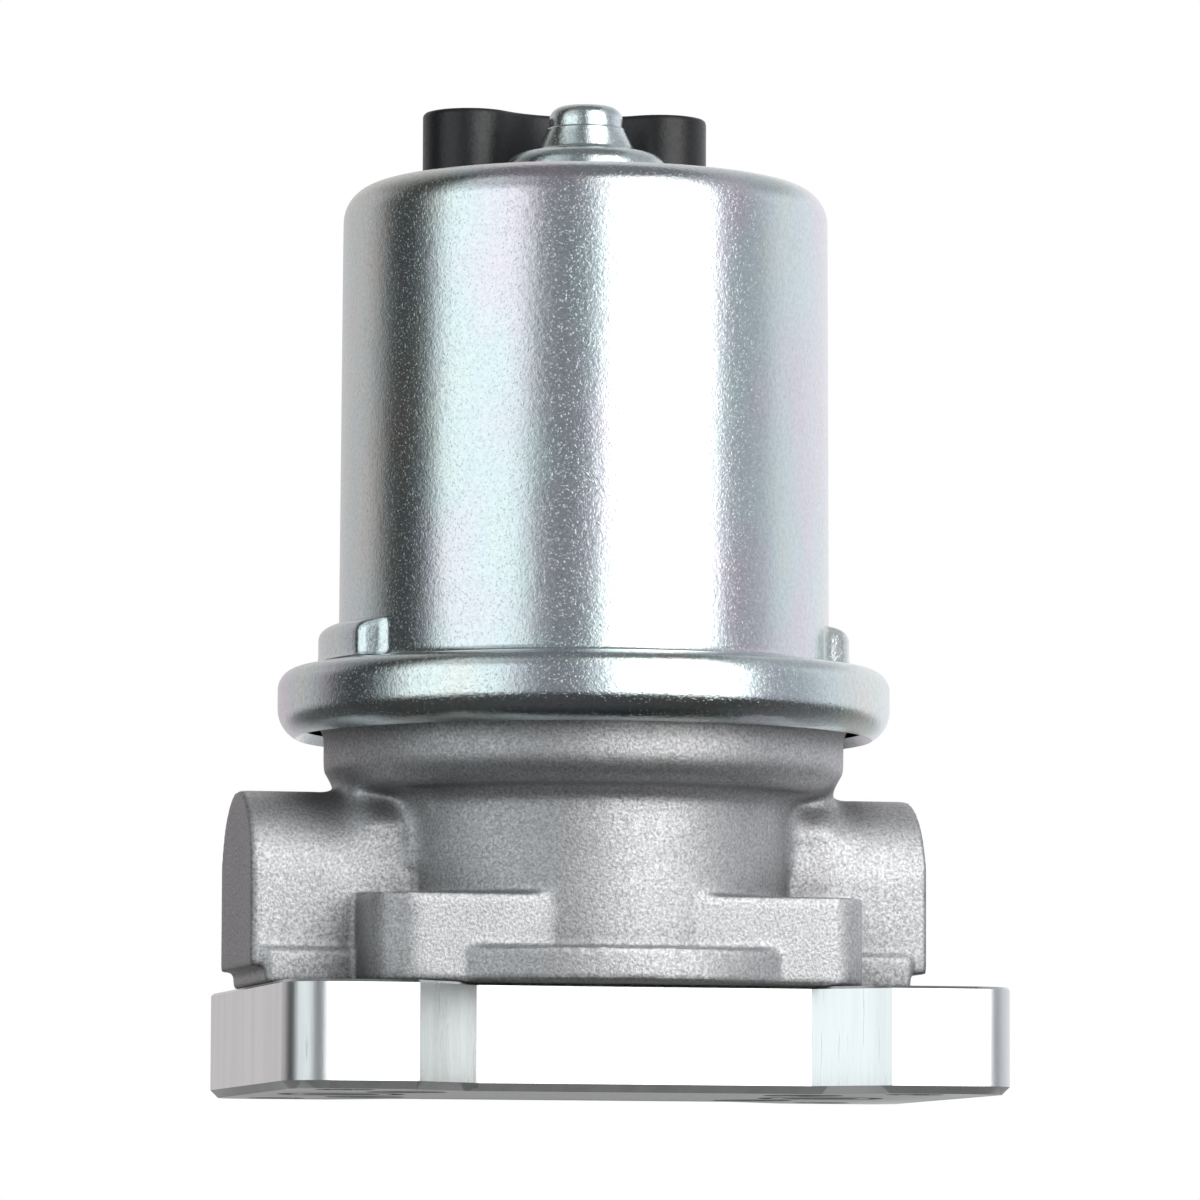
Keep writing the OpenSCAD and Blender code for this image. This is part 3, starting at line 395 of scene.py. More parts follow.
def milledAluminium():
    p = milledPlan
    material, tree, shader = newFinish("MilledAluminium", metal)
    marks = noiseField(tree, p["markSize"], stretch=p["markStretch"], detail=4, roughness=0.7)
    wide = noiseField(tree, p["waveSize"], stretch=p["waveStretch"], detail=2)
    nicks = noiseField(tree, p["nickSize"], stretch=p["nickStretch"], detail=5, roughness=0.7)
    base = colourRamp(tree, wide, p["colours"])
    markShade = stretchRange(tree, marks, *p["markSpan"], p["markShade"], 1.0)
    nickShade = stretchRange(tree, nicks, *p["nickSpan"], p["nickShade"], 1.0)
    lined = mixColours(tree, 1.0, base, markShade, "MULTIPLY")
    worn = mixColours(tree, 1.0, lined, nickShade, "MULTIPLY")
    # The left pair of slants: painted shade in their colour, and a rougher gloss below
    slants = faceMask(tree, *p["slants"])
    shaded = mixColours(tree, 1.0, worn, p["slantShade"], "MULTIPLY")
    tree.links.new(mixColours(tree, slants, worn, shaded), shader.inputs["Base Color"])
    corners = mathNode(tree, "ADD", *[faceMask(tree, *corner) for corner in p["corners"]])
    smooth = stretchRange(tree, marks, *noiseSpan, *p["gloss"])
    slanted = mathNode(tree, "MULTIPLY", slants, p["slantDulling"])
    filed = mathNode(tree, "MULTIPLY", corners, p["cornerDulling"])
    rougher = mathNode(tree, "ADD", slanted, filed)
    tree.links.new(mathNode(tree, "ADD", smooth, rougher), shader.inputs["Roughness"])
    lines = bumpOn(tree, marks, p["markDepth"])
    tree.links.new(bumpOn(tree, nicks, p["nickDepth"], under=lines), shader.inputs["Normal"])
    return material


# A metal or plastic with clouds in its colour, and a grain in its gloss and its surface
def plainFinish(name, plan):
    material, tree, shader = newFinish(name, plan["sockets"])
    clouds = noiseField(tree, plan["cloudSize"], detail=3)
    grain = noiseField(tree, plan["grainSize"], stretch=plan.get("stretch", (1, 1, 1)), detail=4)
    low, high = plan["colours"]
    tree.links.new(colourRamp(tree, clouds, [(0.32, low), (0.68, high)]), shader.inputs["Base Color"])
    rough, spread = plan["roughness"]
    gloss = stretchRange(tree, grain, *noiseSpan, rough - spread, rough + spread)
    tree.links.new(gloss, shader.inputs["Roughness"])
    tree.links.new(bumpOn(tree, grain, plan["depth"]), shader.inputs["Normal"])
    return material


turned = (1, 1, 12)  # fine rings round the motor axis
finishPlans = {
    "connector_plastic": dict(sockets=plastic, colours=((0.006, 0.006, 0.0065), (0.011, 0.011, 0.012)),
                              roughness=(0.36, 0.06), cloudSize=5, grainSize=0.4, depth=0.04),
    "ring_rubber": dict(sockets=plastic, colours=((0.012, 0.012, 0.012), (0.022, 0.022, 0.022)),
                        roughness=(0.55, 0.08), cloudSize=4, grainSize=0.2, depth=0.01),
    "seal_silicone": dict(sockets=plastic, colours=((0.42, 0.09, 0.04), (0.50, 0.12, 0.06)),
                          roughness=(0.48, 0.06), cloudSize=3, grainSize=0.2, depth=0.008),
    "screw_steel": dict(sockets=metal, colours=((0.10, 0.10, 0.11), (0.16, 0.16, 0.17)),
                        roughness=(0.38, 0.08), cloudSize=3, grainSize=0.25, depth=0.01),
    "ground_steel": dict(sockets=metal, colours=((0.60, 0.60, 0.61), (0.66, 0.66, 0.67)),
                         roughness=(0.22, 0.06), cloudSize=6, grainSize=0.3, depth=0.004, stretch=turned),
    "sintered_steel": dict(sockets=metal, colours=((0.22, 0.215, 0.21), (0.30, 0.295, 0.285)),
                           roughness=(0.50, 0.08), cloudSize=4, grainSize=0.18, depth=0.02),
    "core_steel": dict(sockets=metal, colours=((0.30, 0.30, 0.31), (0.40, 0.40, 0.41)),
                       roughness=(0.40, 0.10), cloudSize=6, grainSize=0.5, depth=0.05,
                       stretch=(0.05, 0.05, 1)),
    "spring_steel": dict(sockets=metal, colours=((0.48, 0.49, 0.50), (0.58, 0.59, 0.60)),
                         roughness=(0.28, 0.06), cloudSize=2, grainSize=0.15, depth=0.004),
    "bearing_bronze": dict(sockets=metal, colours=((0.46, 0.28, 0.13), (0.56, 0.36, 0.18)),
                           roughness=(0.42, 0.08), cloudSize=3, grainSize=0.15, depth=0.015),
    "sheet_brass": dict(sockets=metal, colours=((0.72, 0.53, 0.24), (0.80, 0.62, 0.32)),
                        roughness=(0.30, 0.08), cloudSize=4, grainSize=0.3, depth=0.006),
    "tinned_brass": dict(sockets=metal, colours=((0.66, 0.65, 0.62), (0.74, 0.73, 0.70)),
                         roughness=(0.26, 0.06), cloudSize=3, grainSize=0.2, depth=0.005,
                         stretch=(1, 1, 0.1)),
    "bar_copper": dict(sockets=metal, colours=((0.66, 0.33, 0.20), (0.76, 0.42, 0.27)),
                       roughness=(0.30, 0.08), cloudSize=4, grainSize=0.25, depth=0.006),
    "copper_wire": dict(sockets={"Metallic": 1.0, "Coat Weight": 0.6, "Coat Roughness": 0.12},
                        colours=((0.50, 0.16, 0.06), (0.66, 0.26, 0.10)),
                        roughness=(0.28, 0.06), cloudSize=3, grainSize=0.4, depth=0.12, stretch=(1, 1, 0.1)),
    "ferrite": dict(sockets=plastic, colours=((0.030, 0.030, 0.032), (0.050, 0.050, 0.053)),
                    roughness=(0.62, 0.08), cloudSize=5, grainSize=0.3, depth=0.02),
    "carbon": dict(sockets=plastic, colours=((0.035, 0.033, 0.031), (0.060, 0.055, 0.050)),
                   roughness=(0.50, 0.08), cloudSize=2, grainSize=0.15, depth=0.01),
    "card_plastic": dict(sockets=plastic, colours=((0.40, 0.33, 0.20), (0.47, 0.40, 0.26)),
                         roughness=(0.50, 0.08), cloudSize=6, grainSize=0.3, depth=0.015),
    "insulating_plastic": dict(sockets=plastic, colours=((0.10, 0.055, 0.025), (0.15, 0.085, 0.04)),
                               roughness=(0.42, 0.06), cloudSize=4, grainSize=0.25, depth=0.01),
    "white_plastic": dict(sockets=plastic, colours=((0.72, 0.71, 0.66), (0.80, 0.79, 0.75)),
                          roughness=(0.45, 0.06), cloudSize=3, grainSize=0.3, depth=0.008),
    "valve_plastic": dict(sockets=plastic, colours=((0.045, 0.045, 0.05), (0.07, 0.07, 0.075)),
                          roughness=(0.40, 0.06), cloudSize=3, grainSize=0.2, depth=0.008),
    "felt": dict(sockets={"Metallic": 0.0, "Sheen Weight": 0.4},
                 colours=((0.50, 0.44, 0.33), (0.62, 0.56, 0.44)),
                 roughness=(0.92, 0.05), cloudSize=2, grainSize=0.25, depth=0.15),
}
finishes = {slot: plainFinish(slot.title().replace("_", ""), plan) for slot, plan in finishPlans.items()}
finishes["zinc_plated_steel"] = zincPlate()
finishes["cast_aluminium"] = castAluminium()
finishes["machined_aluminium"] = milledAluminium()

slots = {part["node"]: part["material_slot"] for part in frame["record"]["subparts"]}
for node, slot in slots.items():
    for materialSlot in nodes[node].material_slots:
        materialSlot.material = finishes[slot]
print("stage: finishes,", len(finishes))


# Motor can: one drawn sheet from the nub to the curled lip

canPlan = dict(
    wall=1.3, columns=256, nubRadius=4.35, nubTop=116.3, nubFlat=1.3, nubEdge=1.7, nubFlare=0.3,
    nubStraight=0.35, coneRadius=5.6, coneTop=2.6, coneFoot=0.1, coneFillet=0.9,
    coneFilletRise=0.75, domeRadius=10.6, domeHeight=4.3, domeEdge=2.6, domeEdgeIn=3.4,
    domeEdgeDown=2.7, domeFillet=1.0, domeFilletOut=0.4,
    top=106.5, topRadius=28.45, topRings=(15, 20), edge=4.2, radius=28.7, wallRings=(100, 90, 80, 70, 62, 57),
    shoulder=49.7, shoulderFillet=1.2, rimRadius=35.8, rimBend=2.5, rimCurl=3.9, curlHeight=45.05,
    curlAngle=62, bumpRadius=31.1, bumpTop=54.7, bumpEdge=1.6, bumpHalf=20.5, bumpRamp=5.6,
    bumpRing=52.4, bumpFoot=0.4, footRing=0.2, nearWall=(-0.2, 0.8))


def topOutline(p):
    domeTop = p["top"] + p["domeHeight"]
    coneTop = domeTop + p["coneTop"]
    coneFoot = domeTop + p["coneFoot"]
    outline = [(0, p["nubTop"]), (p["nubFlat"], p["nubTop"])]
    outline += arcPoints(p["nubRadius"] - p["nubEdge"], p["nubTop"] - p["nubEdge"], p["nubEdge"], 90, 0, 8)
    outline += [(p["nubRadius"], coneTop + p["nubStraight"])]
    outline += arcPoints(p["nubRadius"], coneTop, p["nubFlare"], 60, -10, 4)
    outline += arcPoints(p["coneRadius"] + p["coneFillet"], coneFoot + p["coneFilletRise"], p["coneFillet"],
                         195, 262, 6)
    outline += arcPoints(p["domeRadius"] - p["domeEdgeIn"], domeTop - p["domeEdgeDown"], p["domeEdge"],
                         82, 12, 8)
    outline += arcPoints(p["domeRadius"] + p["domeFilletOut"], p["top"] + p["domeFillet"], p["domeFillet"],
                         190, 266, 6)
    outline += [(ring, p["top"]) for ring in p["topRings"]]
    outline += arcPoints(p["topRadius"] - p["edge"], p["top"] - p["edge"], p["edge"], 90, 0, 14)
    return outline


def wallOutline(p):
    slope = (p["radius"] - p["topRadius"]) / (p["top"] - p["shoulder"])
    bumpRings = [z for r, z in arcPoints(0, p["bumpTop"] - p["bumpEdge"], p["bumpEdge"], 90, 0, 6)]
    footRing = p["shoulder"] + p["shoulderFillet"] + p["footRing"]
    heights = [*p["wallRings"], *bumpRings, p["bumpRing"], footRing]
    outline = [(p["topRadius"] + slope * (p["top"] - z), z) for z in heights]
    outline += arcPoints(p["radius"] + p["shoulderFillet"], p["shoulder"] + p["shoulderFillet"],
                         p["shoulderFillet"], 180, 270, 8)
    return outline


def rimOutline(p):
    outline = arcPoints(p["rimRadius"] - p["rimBend"], p["shoulder"] - p["rimBend"], p["rimBend"], 90, 0, 12)
    outline += arcPoints(p["rimRadius"] - p["rimCurl"], p["curlHeight"], p["rimCurl"], 0, -p["curlAngle"], 14)
    return outline


def clamped(value):
    return min(1.0, max(0.0, value))


# The two stop bumps, pressed out of the wall ring by ring and column by column
def pushBumpsOut(can):
    p = canPlan
    stretch = p["bumpRadius"] / p["radius"] - 1
    low = p["shoulder"] + p["shoulderFillet"] * p["bumpFoot"]
    inner, outer = [p["radius"] + reach for reach in p["nearWall"]]
    startEdit(can)
    bpy.ops.mesh.select_mode(type="VERT")
    shell = bmesh.from_edit_mesh(can.data)
    for vert in shell.verts:
        x, y, z = vert.co / mm
        turn = math.degrees(math.atan2(abs(y), abs(x)))
        onWall = low < z < p["bumpTop"] and inner < math.hypot(x, y) < outer
        if onWall and turn <= p["bumpHalf"] + p["bumpRamp"]:
            side = clamped((p["bumpHalf"] + p["bumpRamp"] - turn) / p["bumpRamp"])
            side = side * side * (3 - 2 * side)
            rise = clamped((p["bumpTop"] - z) / p["bumpEdge"])
            rise = math.sqrt(1 - (1 - rise) ** 2)
            vert.co.x *= 1 + stretch * side * rise
            vert.co.y *= 1 + stretch * side * rise
    bmesh.update_edit_mesh(can.data)
    endEdit()


def makeMotorCan():
    p = canPlan
    can = spinOutline("MotorCan", topOutline(p) + wallOutline(p) + rimOutline(p), p["columns"])
    pushBumpsOut(can)
    applyModifier(can, "SOLIDIFY", thickness=p["wall"] * mm, offset=-1, use_even_offset=True)
    finishPiece(can, "MotorCan", "housing", "zinc_plated_steel", "motor_can", angle=40)


makeMotorCan()
print("stage: motor can")


# Pump casting: the machined solid with cast corners, webs under the cup and a blasted skin

castingPlan = dict(
    voxel=0.45, smoothing=3, keep=0.6, webRadius=11.3, webHeight=25.2, webFrom=19.0, webTo=28.6, webTop=30,
    webSmoothing=48, blendX=(17, 32), blendY=13, blendZ=(25.5, 37.5))


# Each web fills the corner between a boss and the cup: the top of a lying cylinder, cut off level
def makeWebs():
    p = castingPlan
    middle = (p["webFrom"] + p["webTo"]) / 2
    bpy.ops.mesh.primitive_cylinder_add(
        vertices=96, radius=p["webRadius"] * mm, depth=(p["webTo"] - p["webFrom"]) * mm,
        location=(middle * mm, 0, p["webHeight"] * mm), rotation=(0, math.pi / 2, 0))
    web = bpy.context.object
    bpy.ops.object.transform_apply(location=True, rotation=True, scale=True)
    startEdit(web)
    bpy.ops.mesh.select_all(action="SELECT")
    bpy.ops.mesh.bisect(plane_co=(0, 0, p["webTop"] * mm), plane_no=(0, 0, 1), use_fill=True,
                        clear_inner=True)
    endEdit()
    return [copyMoved(web, (-2 * middle, 0, 0)), web]


def blendWebs(casting):
    p = castingPlan
    fromX, toX = p["blendX"]
    fromZ, toZ = p["blendZ"]
    startEdit(casting)
    pickVerts(casting, lambda v: fromX < abs(v.x) / mm < toX and abs(v.y) / mm < p["blendY"]
              and fromZ < v.z / mm < toZ)
    bpy.ops.mesh.vertices_smooth(factor=0.5, repeat=p["webSmoothing"])
    endEdit()


def makeCasting():
    p = castingPlan
    casting = copyOfNode("pump_body", "PumpCasting")
    for web in makeWebs():
        applyModifier(casting, "BOOLEAN", operation="UNION", object=web, solver="EXACT")
        bpy.data.objects.remove(web)
    applyModifier(casting, "REMESH", mode="VOXEL", voxel_size=p["voxel"] * mm)
    applyModifier(casting, "SMOOTH", factor=0.5, iterations=p["smoothing"])
    blendWebs(casting)
    applyModifier(casting, "DECIMATE", ratio=p["keep"])
    finishPiece(casting, "PumpCasting", "housing", "cast_aluminium", "pump_body", angle=60)


makeCasting()
print("stage: pump casting")


# Connector: two sockets in one moulding, with rounded rims

connectorPlan = dict(rimRound=0.55, roundSteps=3, flatWithin=0.5, sharpFrom=46)


def makeConnector():
    p = connectorPlan
    connector = copyOfNode("connector_housing", "ConnectorHousing")
    startEdit(connector)
    bpy.ops.mesh.select_all(action="SELECT")
    bpy.ops.mesh.dissolve_limited(angle_limit=math.radians(p["flatWithin"]))
    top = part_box("connector_housing")[1][2] - 0.01 * mm
    sharp = math.radians(p["sharpFrom"])
    pickEdges(connector, lambda e: all(v.co.z > top for v in e.verts) and len(e.link_faces) == 2
              and e.calc_face_angle(0) > sharp)
    bpy.ops.mesh.bevel(offset=p["rimRound"] * mm, segments=p["roundSteps"], profile=0.5)
    endEdit()
    finishPiece(connector, "ConnectorHousing", "housing", "connector_plastic", "connector_housing", angle=30)


makeConnector()
print("stage: connector")


# Springs and brush leads: each copied from its CAD piece, with a mesh of its own, and carried by its joint's
# parent body

def makeSpring(joint, node):
    spring = copyOfNode(node, node.title().replace("_", ""))
    finishPiece(spring, spring.name, joint["parent"], slots[node], node, angle=60)
    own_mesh(spring)


for joint in frame["joints"]:
    for soft in joint.get("deforming_nodes", []):
        makeSpring(joint, soft["node"])
print("stage: springs")


# Adapter plate: a milled outline with rounded ears and sharp slants, chamfered rims and every bore

platePlan = dict(
    length=84.9, width=56.0, thick=12.3, off=2.6, ear=15.0, pad=39.2, padDepth=42.8, earRound=4.7,
    roundSteps=16, lowChamfer=0.9, topChamfer=0.3, screwX=23.4, screwY=12.6, headBore=(4.65, 5.5),
    screwBore=2.8, portGroove=(5.9, 7.4), coverGroove=(18.9, 20.4), grooveDepth=1.3, past=1.0,
    holeSteps=64)


def plateOutline(p):
    left, right = p["off"] - p["length"] / 2, p["off"] + p["length"] / 2
    padLeft, padRight = p["off"] - p["pad"] / 2, p["off"] + p["pad"] / 2
    front = [(left, -p["width"] / 2), (left + p["ear"], -p["width"] / 2), (padLeft, -p["padDepth"] / 2),
             (padRight, -p["padDepth"] / 2), (right - p["ear"], -p["width"] / 2), (right, -p["width"] / 2)]
    return front + [(x, -y) for x, y in reversed(front)]


def stampHoles(outline, places):
    hole = spinOutline("PlateHole", outline, platePlan["holeSteps"])
    holes = [copyMoved(hole, (x, y, 0)) for x, y in places]
    bpy.data.objects.remove(hole)
    return holes


def ringOutline(inner, outer, low, high):
    return [(inner, low), (outer, low), (outer, high), (inner, high), (inner, low)]


def plateHoles(p):
    mounts = {mount["name"]: mount for mount in frame["record"]["mounts"]}
    low, high = -p["past"], p["thick"] + p["past"]
    bolts, bore = mounts["plate_bolts"], mounts["fuel_outlet"]
    boltX, boltY = bolts["dims"]["spacing_x_mm"] / 2, bolts["dims"]["spacing_y_mm"] / 2
    boltOff, portX = bolts["pos_m"][0] / mm, bore["pos_m"][0] / mm
    boltR, portR = bolts["dims"]["hole_r_mm"], bore["dims"]["r_mm"]
    headR, headDepth = p["headBore"]
    corners = [(x, y) for x in (-1, 1) for y in (-1, 1)]
    ports = [(-portX, 0), (portX, 0)]
    stepped = [(0, low), (headR, low), (headR, headDepth), (p["screwBore"], headDepth),
               (p["screwBore"], high), (0, high)]
    holes = stampHoles([(0, low), (boltR, low), (boltR, high), (0, high)],
                       [(boltOff + x * boltX, y * boltY) for x, y in corners])
    holes += stampHoles(stepped, [(x * p["screwX"], y * p["screwY"]) for x, y in corners])
    holes += stampHoles([(0, low), (portR, low), (portR, high), (0, high)], ports)
    holes += stampHoles(ringOutline(*p["portGroove"], low, p["grooveDepth"]), ports)
    holes += stampHoles(ringOutline(*p["portGroove"], p["thick"] - p["grooveDepth"], high), ports)
    holes += stampHoles(ringOutline(*p["coverGroove"], p["thick"] - p["grooveDepth"], high), [(0, 0)])
    pickOnly(*holes)
    bpy.ops.object.join()
    return holes[0]


# Rounds the upright edges of the plate that stand at the given corners of its outline
def roundUprights(plate, corners):
    p = platePlan

    def standsAtCorner(edge):
        foot, head = [vert.co / mm for vert in edge.verts]
        return abs(foot.z - head.z) > 1 and any(math.hypot(foot.x - x, foot.y - y) < 0.1 for x, y in corners)

    startEdit(plate)
    pickEdges(plate, standsAtCorner)
    bpy.ops.mesh.bevel(offset=p["earRound"] * mm, offset_type="OFFSET", segments=p["roundSteps"], profile=0.5)
    endEdit()


def chamferRim(plate, height, size):
    startEdit(plate)
    pickEdges(plate, lambda e: all(abs(v.co.z - height * mm) < mergeGap for v in e.verts))
    bpy.ops.mesh.bevel(offset=size * mm, offset_type="OFFSET", segments=1)
    endEdit()


def makePlate():
    p = platePlan
    outline = plateOutline(p)
    plate = drawOutline("AdapterPlate", [Vector((x * mm, y * mm, 0)) for x, y in outline])
    bpy.ops.mesh.edge_face_add()
    bpy.ops.mesh.extrude_region_move(TRANSFORM_OT_translate={"value": (0, 0, p["thick"] * mm)})
    endEdit()
    cleanShell(plate)
    roundUprights(plate, [outline[i] for i in (0, 5, 6, 11)])  # the ears' four outer corners
    chamferRim(plate, 0, p["lowChamfer"])
    chamferRim(plate, p["thick"], p["topChamfer"])
    holes = plateHoles(p)
    applyModifier(plate, "BOOLEAN", operation="DIFFERENCE", object=holes, solver="EXACT")
    bpy.data.objects.remove(holes)
    finishPiece(plate, "AdapterPlate", "housing", "machined_aluminium", "adapter_plate", angle=20)
    applyModifier(plate, "WEIGHTED_NORMAL", keep_sharp=True)


makePlate()
print("stage: adapter plate")


# Studio: a pale floor under the plate, a white world, and a dome with two soft boxes round the pump

cameraPlan = dict(spot=(-0.2003, -0.9123, -0.0219), heading=(0.2164, 0.9763), tiltUp=4.894, roll=0.22,
                  lens=240, sensor=36, clipStart=0.01, clipEnd=20)
# The dome's four belts blend into each other between these heights, in degrees above its middle
domePlan = dict(radius=0.75, middle=0.05, tableSpan=(-13, -6), highSpan=(22, 40), ceilingSpan=(56, 68),
                ceiling=(0.20, 0.20, 0.21))
# The edge is in millimetres: from the plate's outline to where the light under or beside it ends
floorPlan = dict(radius=0.072, height=-0.0002, shadeFrom=0.032, paint=0.30, glow=0.50, roughness=0.9,
                 shine=0.2, edge=1.2, underPlate=0.34, besidePlate=0.20, dark=0.02)
# Light at the level of the pump, by the angle round it from the camera, plus to the right
domeBands = [
    (-180, (0.72, 0.69, 0.70)), (-150, (0.62, 0.59, 0.60)), (-124, (0.58, 0.55, 0.57)),
    (-112, (0.36, 0.35, 0.36)), (-103, (0.07, 0.07, 0.07)), (-87, (0.05, 0.05, 0.05)),
    (-76, (0.20, 0.21, 0.22)), (-69, (1.17, 1.24, 1.27)), (-29, (1.17, 1.24, 1.27)),
    (-22, (0.40, 0.42, 0.44)), (-15, (0.22, 0.23, 0.25)), (-3, (0.24, 0.25, 0.27)),
    (6, (0.45, 0.50, 0.55)), (15, (2.7, 2.7, 2.7)), (57, (3.0, 3.0, 3.0)),
    (65, (0.50, 0.54, 0.58)), (76, (0.39, 0.41, 0.45)), (90, (0.50, 0.51, 0.55)),
    (102, (0.80, 0.82, 0.87)), (130, (0.92, 0.92, 0.97)), (180, (0.97, 0.95, 0.98)),
]
# The same higher up, which the can's top edge and the rim's upper bend reflect
highBands = [
    (-180, (0.75, 0.75, 0.75)), (-130, (0.30, 0.30, 0.30)), (-100, (0.04, 0.04, 0.04)),
    (-82, (0.10, 0.10, 0.10)), (-68, (0.75, 0.79, 0.81)), (-32, (0.50, 0.53, 0.54)),
    (-22, (0.20, 0.21, 0.22)), (2, (0.26, 0.27, 0.28)), (18, (2.3, 2.3, 2.3)), (60, (2.3, 2.3, 2.3)),
    (72, (0.50, 0.51, 0.53)), (120, (0.45, 0.46, 0.48)), (180, (0.75, 0.75, 0.75)),
]
# The same below the horizon, where the reflections are mostly dark
tableBands = [
    (-180, (0.72, 0.70, 0.71)), (-160, (0.50, 0.49, 0.50)), (-140, (0.12, 0.12, 0.12)),
    (-95, (0.05, 0.05, 0.05)), (-20, (0.07, 0.07, 0.075)), (60, (0.05, 0.05, 0.05)),
    (110, (0.15, 0.15, 0.15)), (150, (0.50, 0.50, 0.51)), (180, (0.72, 0.70, 0.71)),
]


def addCamera():
    p = cameraPlan
    tilt = math.radians(p["tiltUp"])
    along = Vector((*p["heading"], 0)).normalized()
    forward = along * math.cos(tilt) + Vector((0, 0, math.sin(tilt)))
    bpy.ops.object.camera_add(location=p["spot"])
    camera = bpy.context.object
    camera.rotation_mode = "QUATERNION"
    roll = Quaternion((0, 0, 1), math.radians(p["roll"]))
    camera.rotation_quaternion = forward.to_track_quat("-Z", "Y") @ roll
    camera.data.lens = p["lens"]
    camera.data.sensor_width = p["sensor"]
    camera.data.clip_start = p["clipStart"]
    camera.data.clip_end = p["clipEnd"]
    scene.camera = camera


def bandRamp(tree, turn, bands):
    return colourRamp(tree, stretchRange(tree, turn, -math.pi, math.pi, 0, 1),
                      [((angle + 180) / 360, colour) for angle, colour in bands])


def dotWith(tree, vector, direction):
    dot = addNode(tree, "ShaderNodeVectorMath", operation="DOT_PRODUCT")
    tree.links.new(vector, dot.inputs[0])
    dot.inputs[1].default_value = direction
    return dot.outputs["Value"]


def addDome():
    p = domePlan
    bpy.ops.mesh.primitive_uv_sphere_add(segments=96, ring_count=48, radius=p["radius"],
                                         location=(0, 0, p["middle"]))
    dome = bpy.context.object
    bpy.ops.object.transform_apply(location=True, rotation=True, scale=True)
    dome.name = "StudioDome"
    material = bpy.data.materials.new("StudioDome")
    material.use_nodes = True
    tree = material.node_tree
    tree.nodes.clear()
    coordinate = addNode(tree, "ShaderNodeTexCoord")
    fromMiddle = addNode(tree, "ShaderNodeVectorMath", operation="SUBTRACT")
    fromMiddle.inputs[1].default_value = (0, 0, p["middle"])
    tree.links.new(coordinate.outputs["Object"], fromMiddle.inputs[0])
    unit = addNode(tree, "ShaderNodeVectorMath", operation="NORMALIZE")
    tree.links.new(fromMiddle.outputs["Vector"], unit.inputs[0])
    direction = unit.outputs["Vector"]
    headingX, headingY = cameraPlan["heading"]
    turn = mathNode(tree, "ARCTAN2", dotWith(tree, direction, (headingY, -headingX, 0)),
                    dotWith(tree, direction, (-headingX, -headingY, 0)))
    rise = mathNode(tree, "DEGREES", mathNode(tree, "ARCSINE", dotWith(tree, direction, (0, 0, 1))))
    walls = bandRamp(tree, turn, domeBands)
    high = bandRamp(tree, turn, highBands)
    table = bandRamp(tree, turn, tableBands)
    aboveTable = stretchRange(tree, rise, *p["tableSpan"], 0, 1, smooth=True)
    aboveWalls = stretchRange(tree, rise, *p["highSpan"], 0, 1, smooth=True)
    aboveHigh = stretchRange(tree, rise, *p["ceilingSpan"], 0, 1, smooth=True)
    upper = mixColours(tree, aboveHigh, mixColours(tree, aboveWalls, walls, high), p["ceiling"])
    emission = addNode(tree, "ShaderNodeEmission")
    output = addNode(tree, "ShaderNodeOutputMaterial")
    tree.links.new(mixColours(tree, aboveTable, table, upper), emission.inputs["Color"])
    tree.links.new(emission.outputs["Emission"], output.inputs["Surface"])
    dome.data.materials.append(material)
    dome.visible_camera = False
    dome.visible_transmission = False


# 1 in a box about the middle of the plate, without the part that is nearer than fromX
def plateShadow(tree, halfX, halfY, fromX=0.0):
    place = addNode(tree, "ShaderNodeSeparateXYZ")
    tree.links.new(objectPlace(tree), place.inputs["Vector"])
    along = mathNode(tree, "SUBTRACT", place.outputs["X"], platePlan["off"] * mm)
    outwards = mathNode(tree, "ABSOLUTE", along)
    inX = mathNode(tree, "COMPARE", outwards, (fromX + halfX) / 2 * mm, (halfX - fromX) / 2 * mm)
    inY = mathNode(tree, "COMPARE", place.outputs["Y"], 0.0, halfY * mm)
    return mathNode(tree, "MULTIPLY", inX, inY)


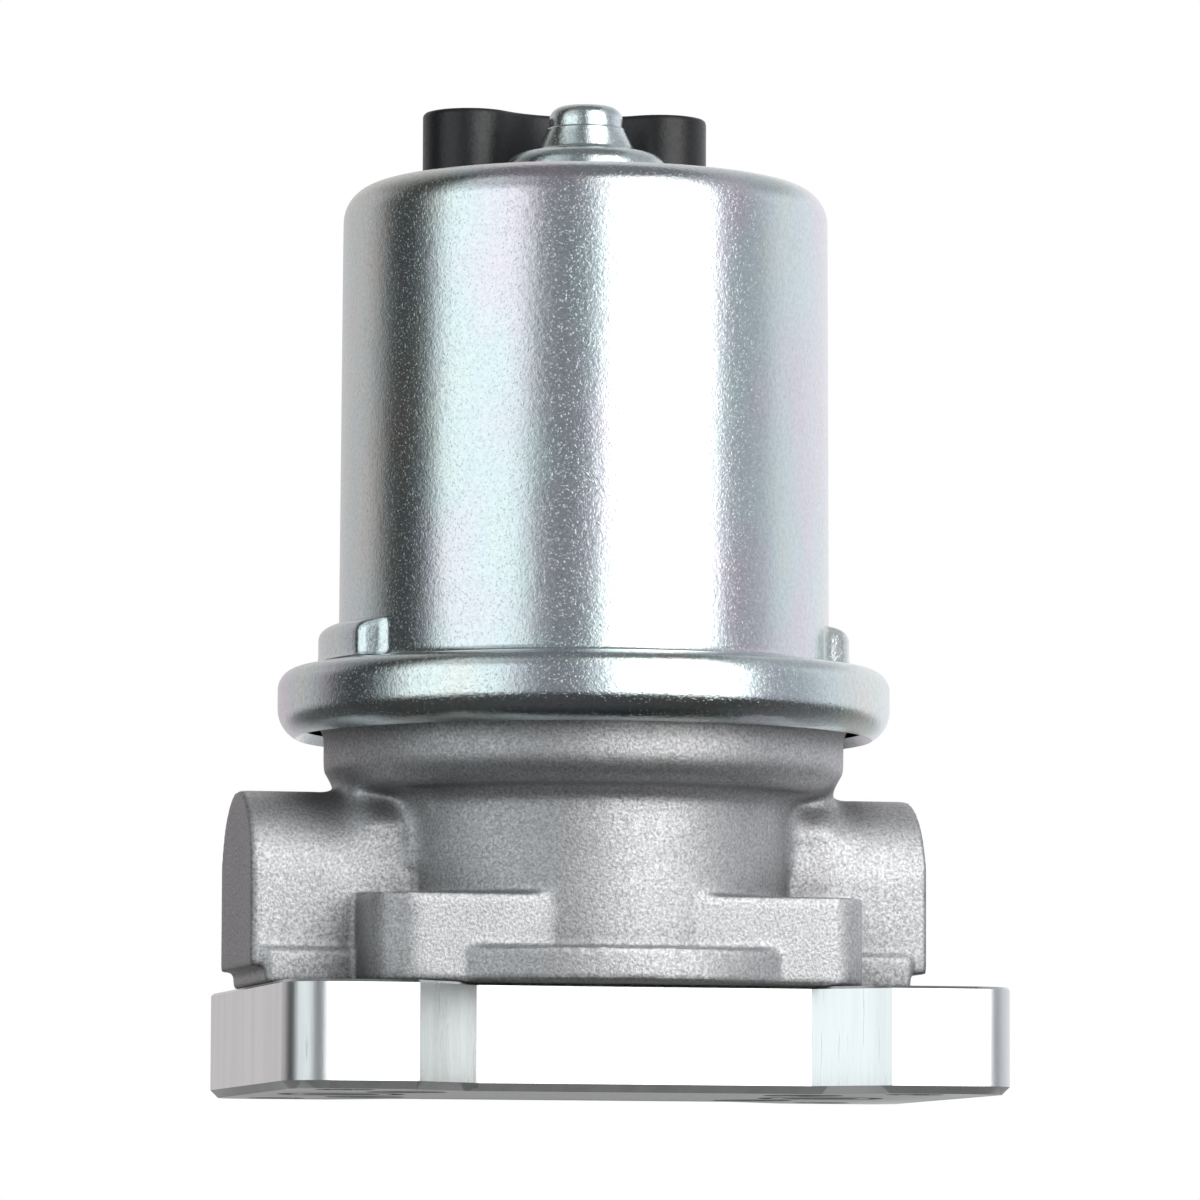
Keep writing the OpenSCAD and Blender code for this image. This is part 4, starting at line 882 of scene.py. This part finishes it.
# What reflections see of the floor: a glow under the plate, less of it just beside, and dark elsewhere
def reflectedFloor(tree):
    p = floorPlan
    edge = p["edge"]
    halfX, halfY = platePlan["length"] / 2, platePlan["width"] / 2
    middle = platePlan["pad"] / 2 + edge
    ears = plateShadow(tree, halfX - edge, halfY - edge, middle)
    pad = plateShadow(tree, middle, platePlan["padDepth"] / 2 - edge)
    under = mathNode(tree, "MULTIPLY", mathNode(tree, "MAXIMUM", ears, pad), p["underPlate"])
    beside = mathNode(tree, "MULTIPLY", plateShadow(tree, halfX + edge, halfY + edge), p["besidePlate"])
    glow = addNode(tree, "ShaderNodeEmission")
    brightest = mathNode(tree, "MAXIMUM", under, beside)
    tree.links.new(mathNode(tree, "MAXIMUM", brightest, p["dark"]), glow.inputs["Strength"])
    return glow


def addFloor():
    p = floorPlan
    bpy.ops.mesh.primitive_circle_add(vertices=128, radius=p["radius"], fill_type="NGON",
                                      location=(0, 0, p["height"]))
    floor = bpy.context.object
    bpy.ops.object.transform_apply(location=True, rotation=True, scale=True)
    floor.name = "StudioFloor"
    material, tree, shader = newFinish("PaleFloor", {
        "Base Color": (p["paint"], p["paint"], p["paint"], 1), "Roughness": p["roughness"],
        "Specular IOR Level": p["shine"], "Emission Strength": 1.0,
        "Emission Color": (p["glow"], p["glow"], p["glow"], 1)})
    fromMiddle = addNode(tree, "ShaderNodeVectorMath", operation="LENGTH")
    tree.links.new(objectPlace(tree), fromMiddle.inputs[0])
    outwards = stretchRange(tree, fromMiddle.outputs["Value"], p["shadeFrom"], p["radius"], 0, 1, smooth=True)
    face = addNode(tree, "ShaderNodeNewGeometry")
    clear = addNode(tree, "ShaderNodeBsdfTransparent")
    pick = addNode(tree, "ShaderNodeMixShader")
    seenThrough = mathNode(tree, "MAXIMUM", face.outputs["Backfacing"], outwards)
    tree.links.new(seenThrough, pick.inputs["Fac"])
    path = addNode(tree, "ShaderNodeLightPath")
    seen = addNode(tree, "ShaderNodeMixShader")
    tree.links.new(path.outputs["Is Camera Ray"], seen.inputs["Fac"])
    tree.links.new(reflectedFloor(tree).outputs["Emission"], seen.inputs[1])
    tree.links.new(shader.outputs["BSDF"], seen.inputs[2])
    tree.links.new(seen.outputs["Shader"], pick.inputs[1])
    tree.links.new(clear.outputs["BSDF"], pick.inputs[2])
    tree.links.new(pick.outputs["Shader"], tree.nodes["Material Output"].inputs["Surface"])
    floor.data.materials.append(material)


def addWorld():
    world = bpy.data.worlds.new("WhiteStudio")
    world.use_nodes = True
    world.node_tree.nodes["Background"].inputs["Color"].default_value = (1, 1, 1, 1)
    scene.world = world


addCamera()
addDome()
addFloor()
addWorld()
print("stage: studio")
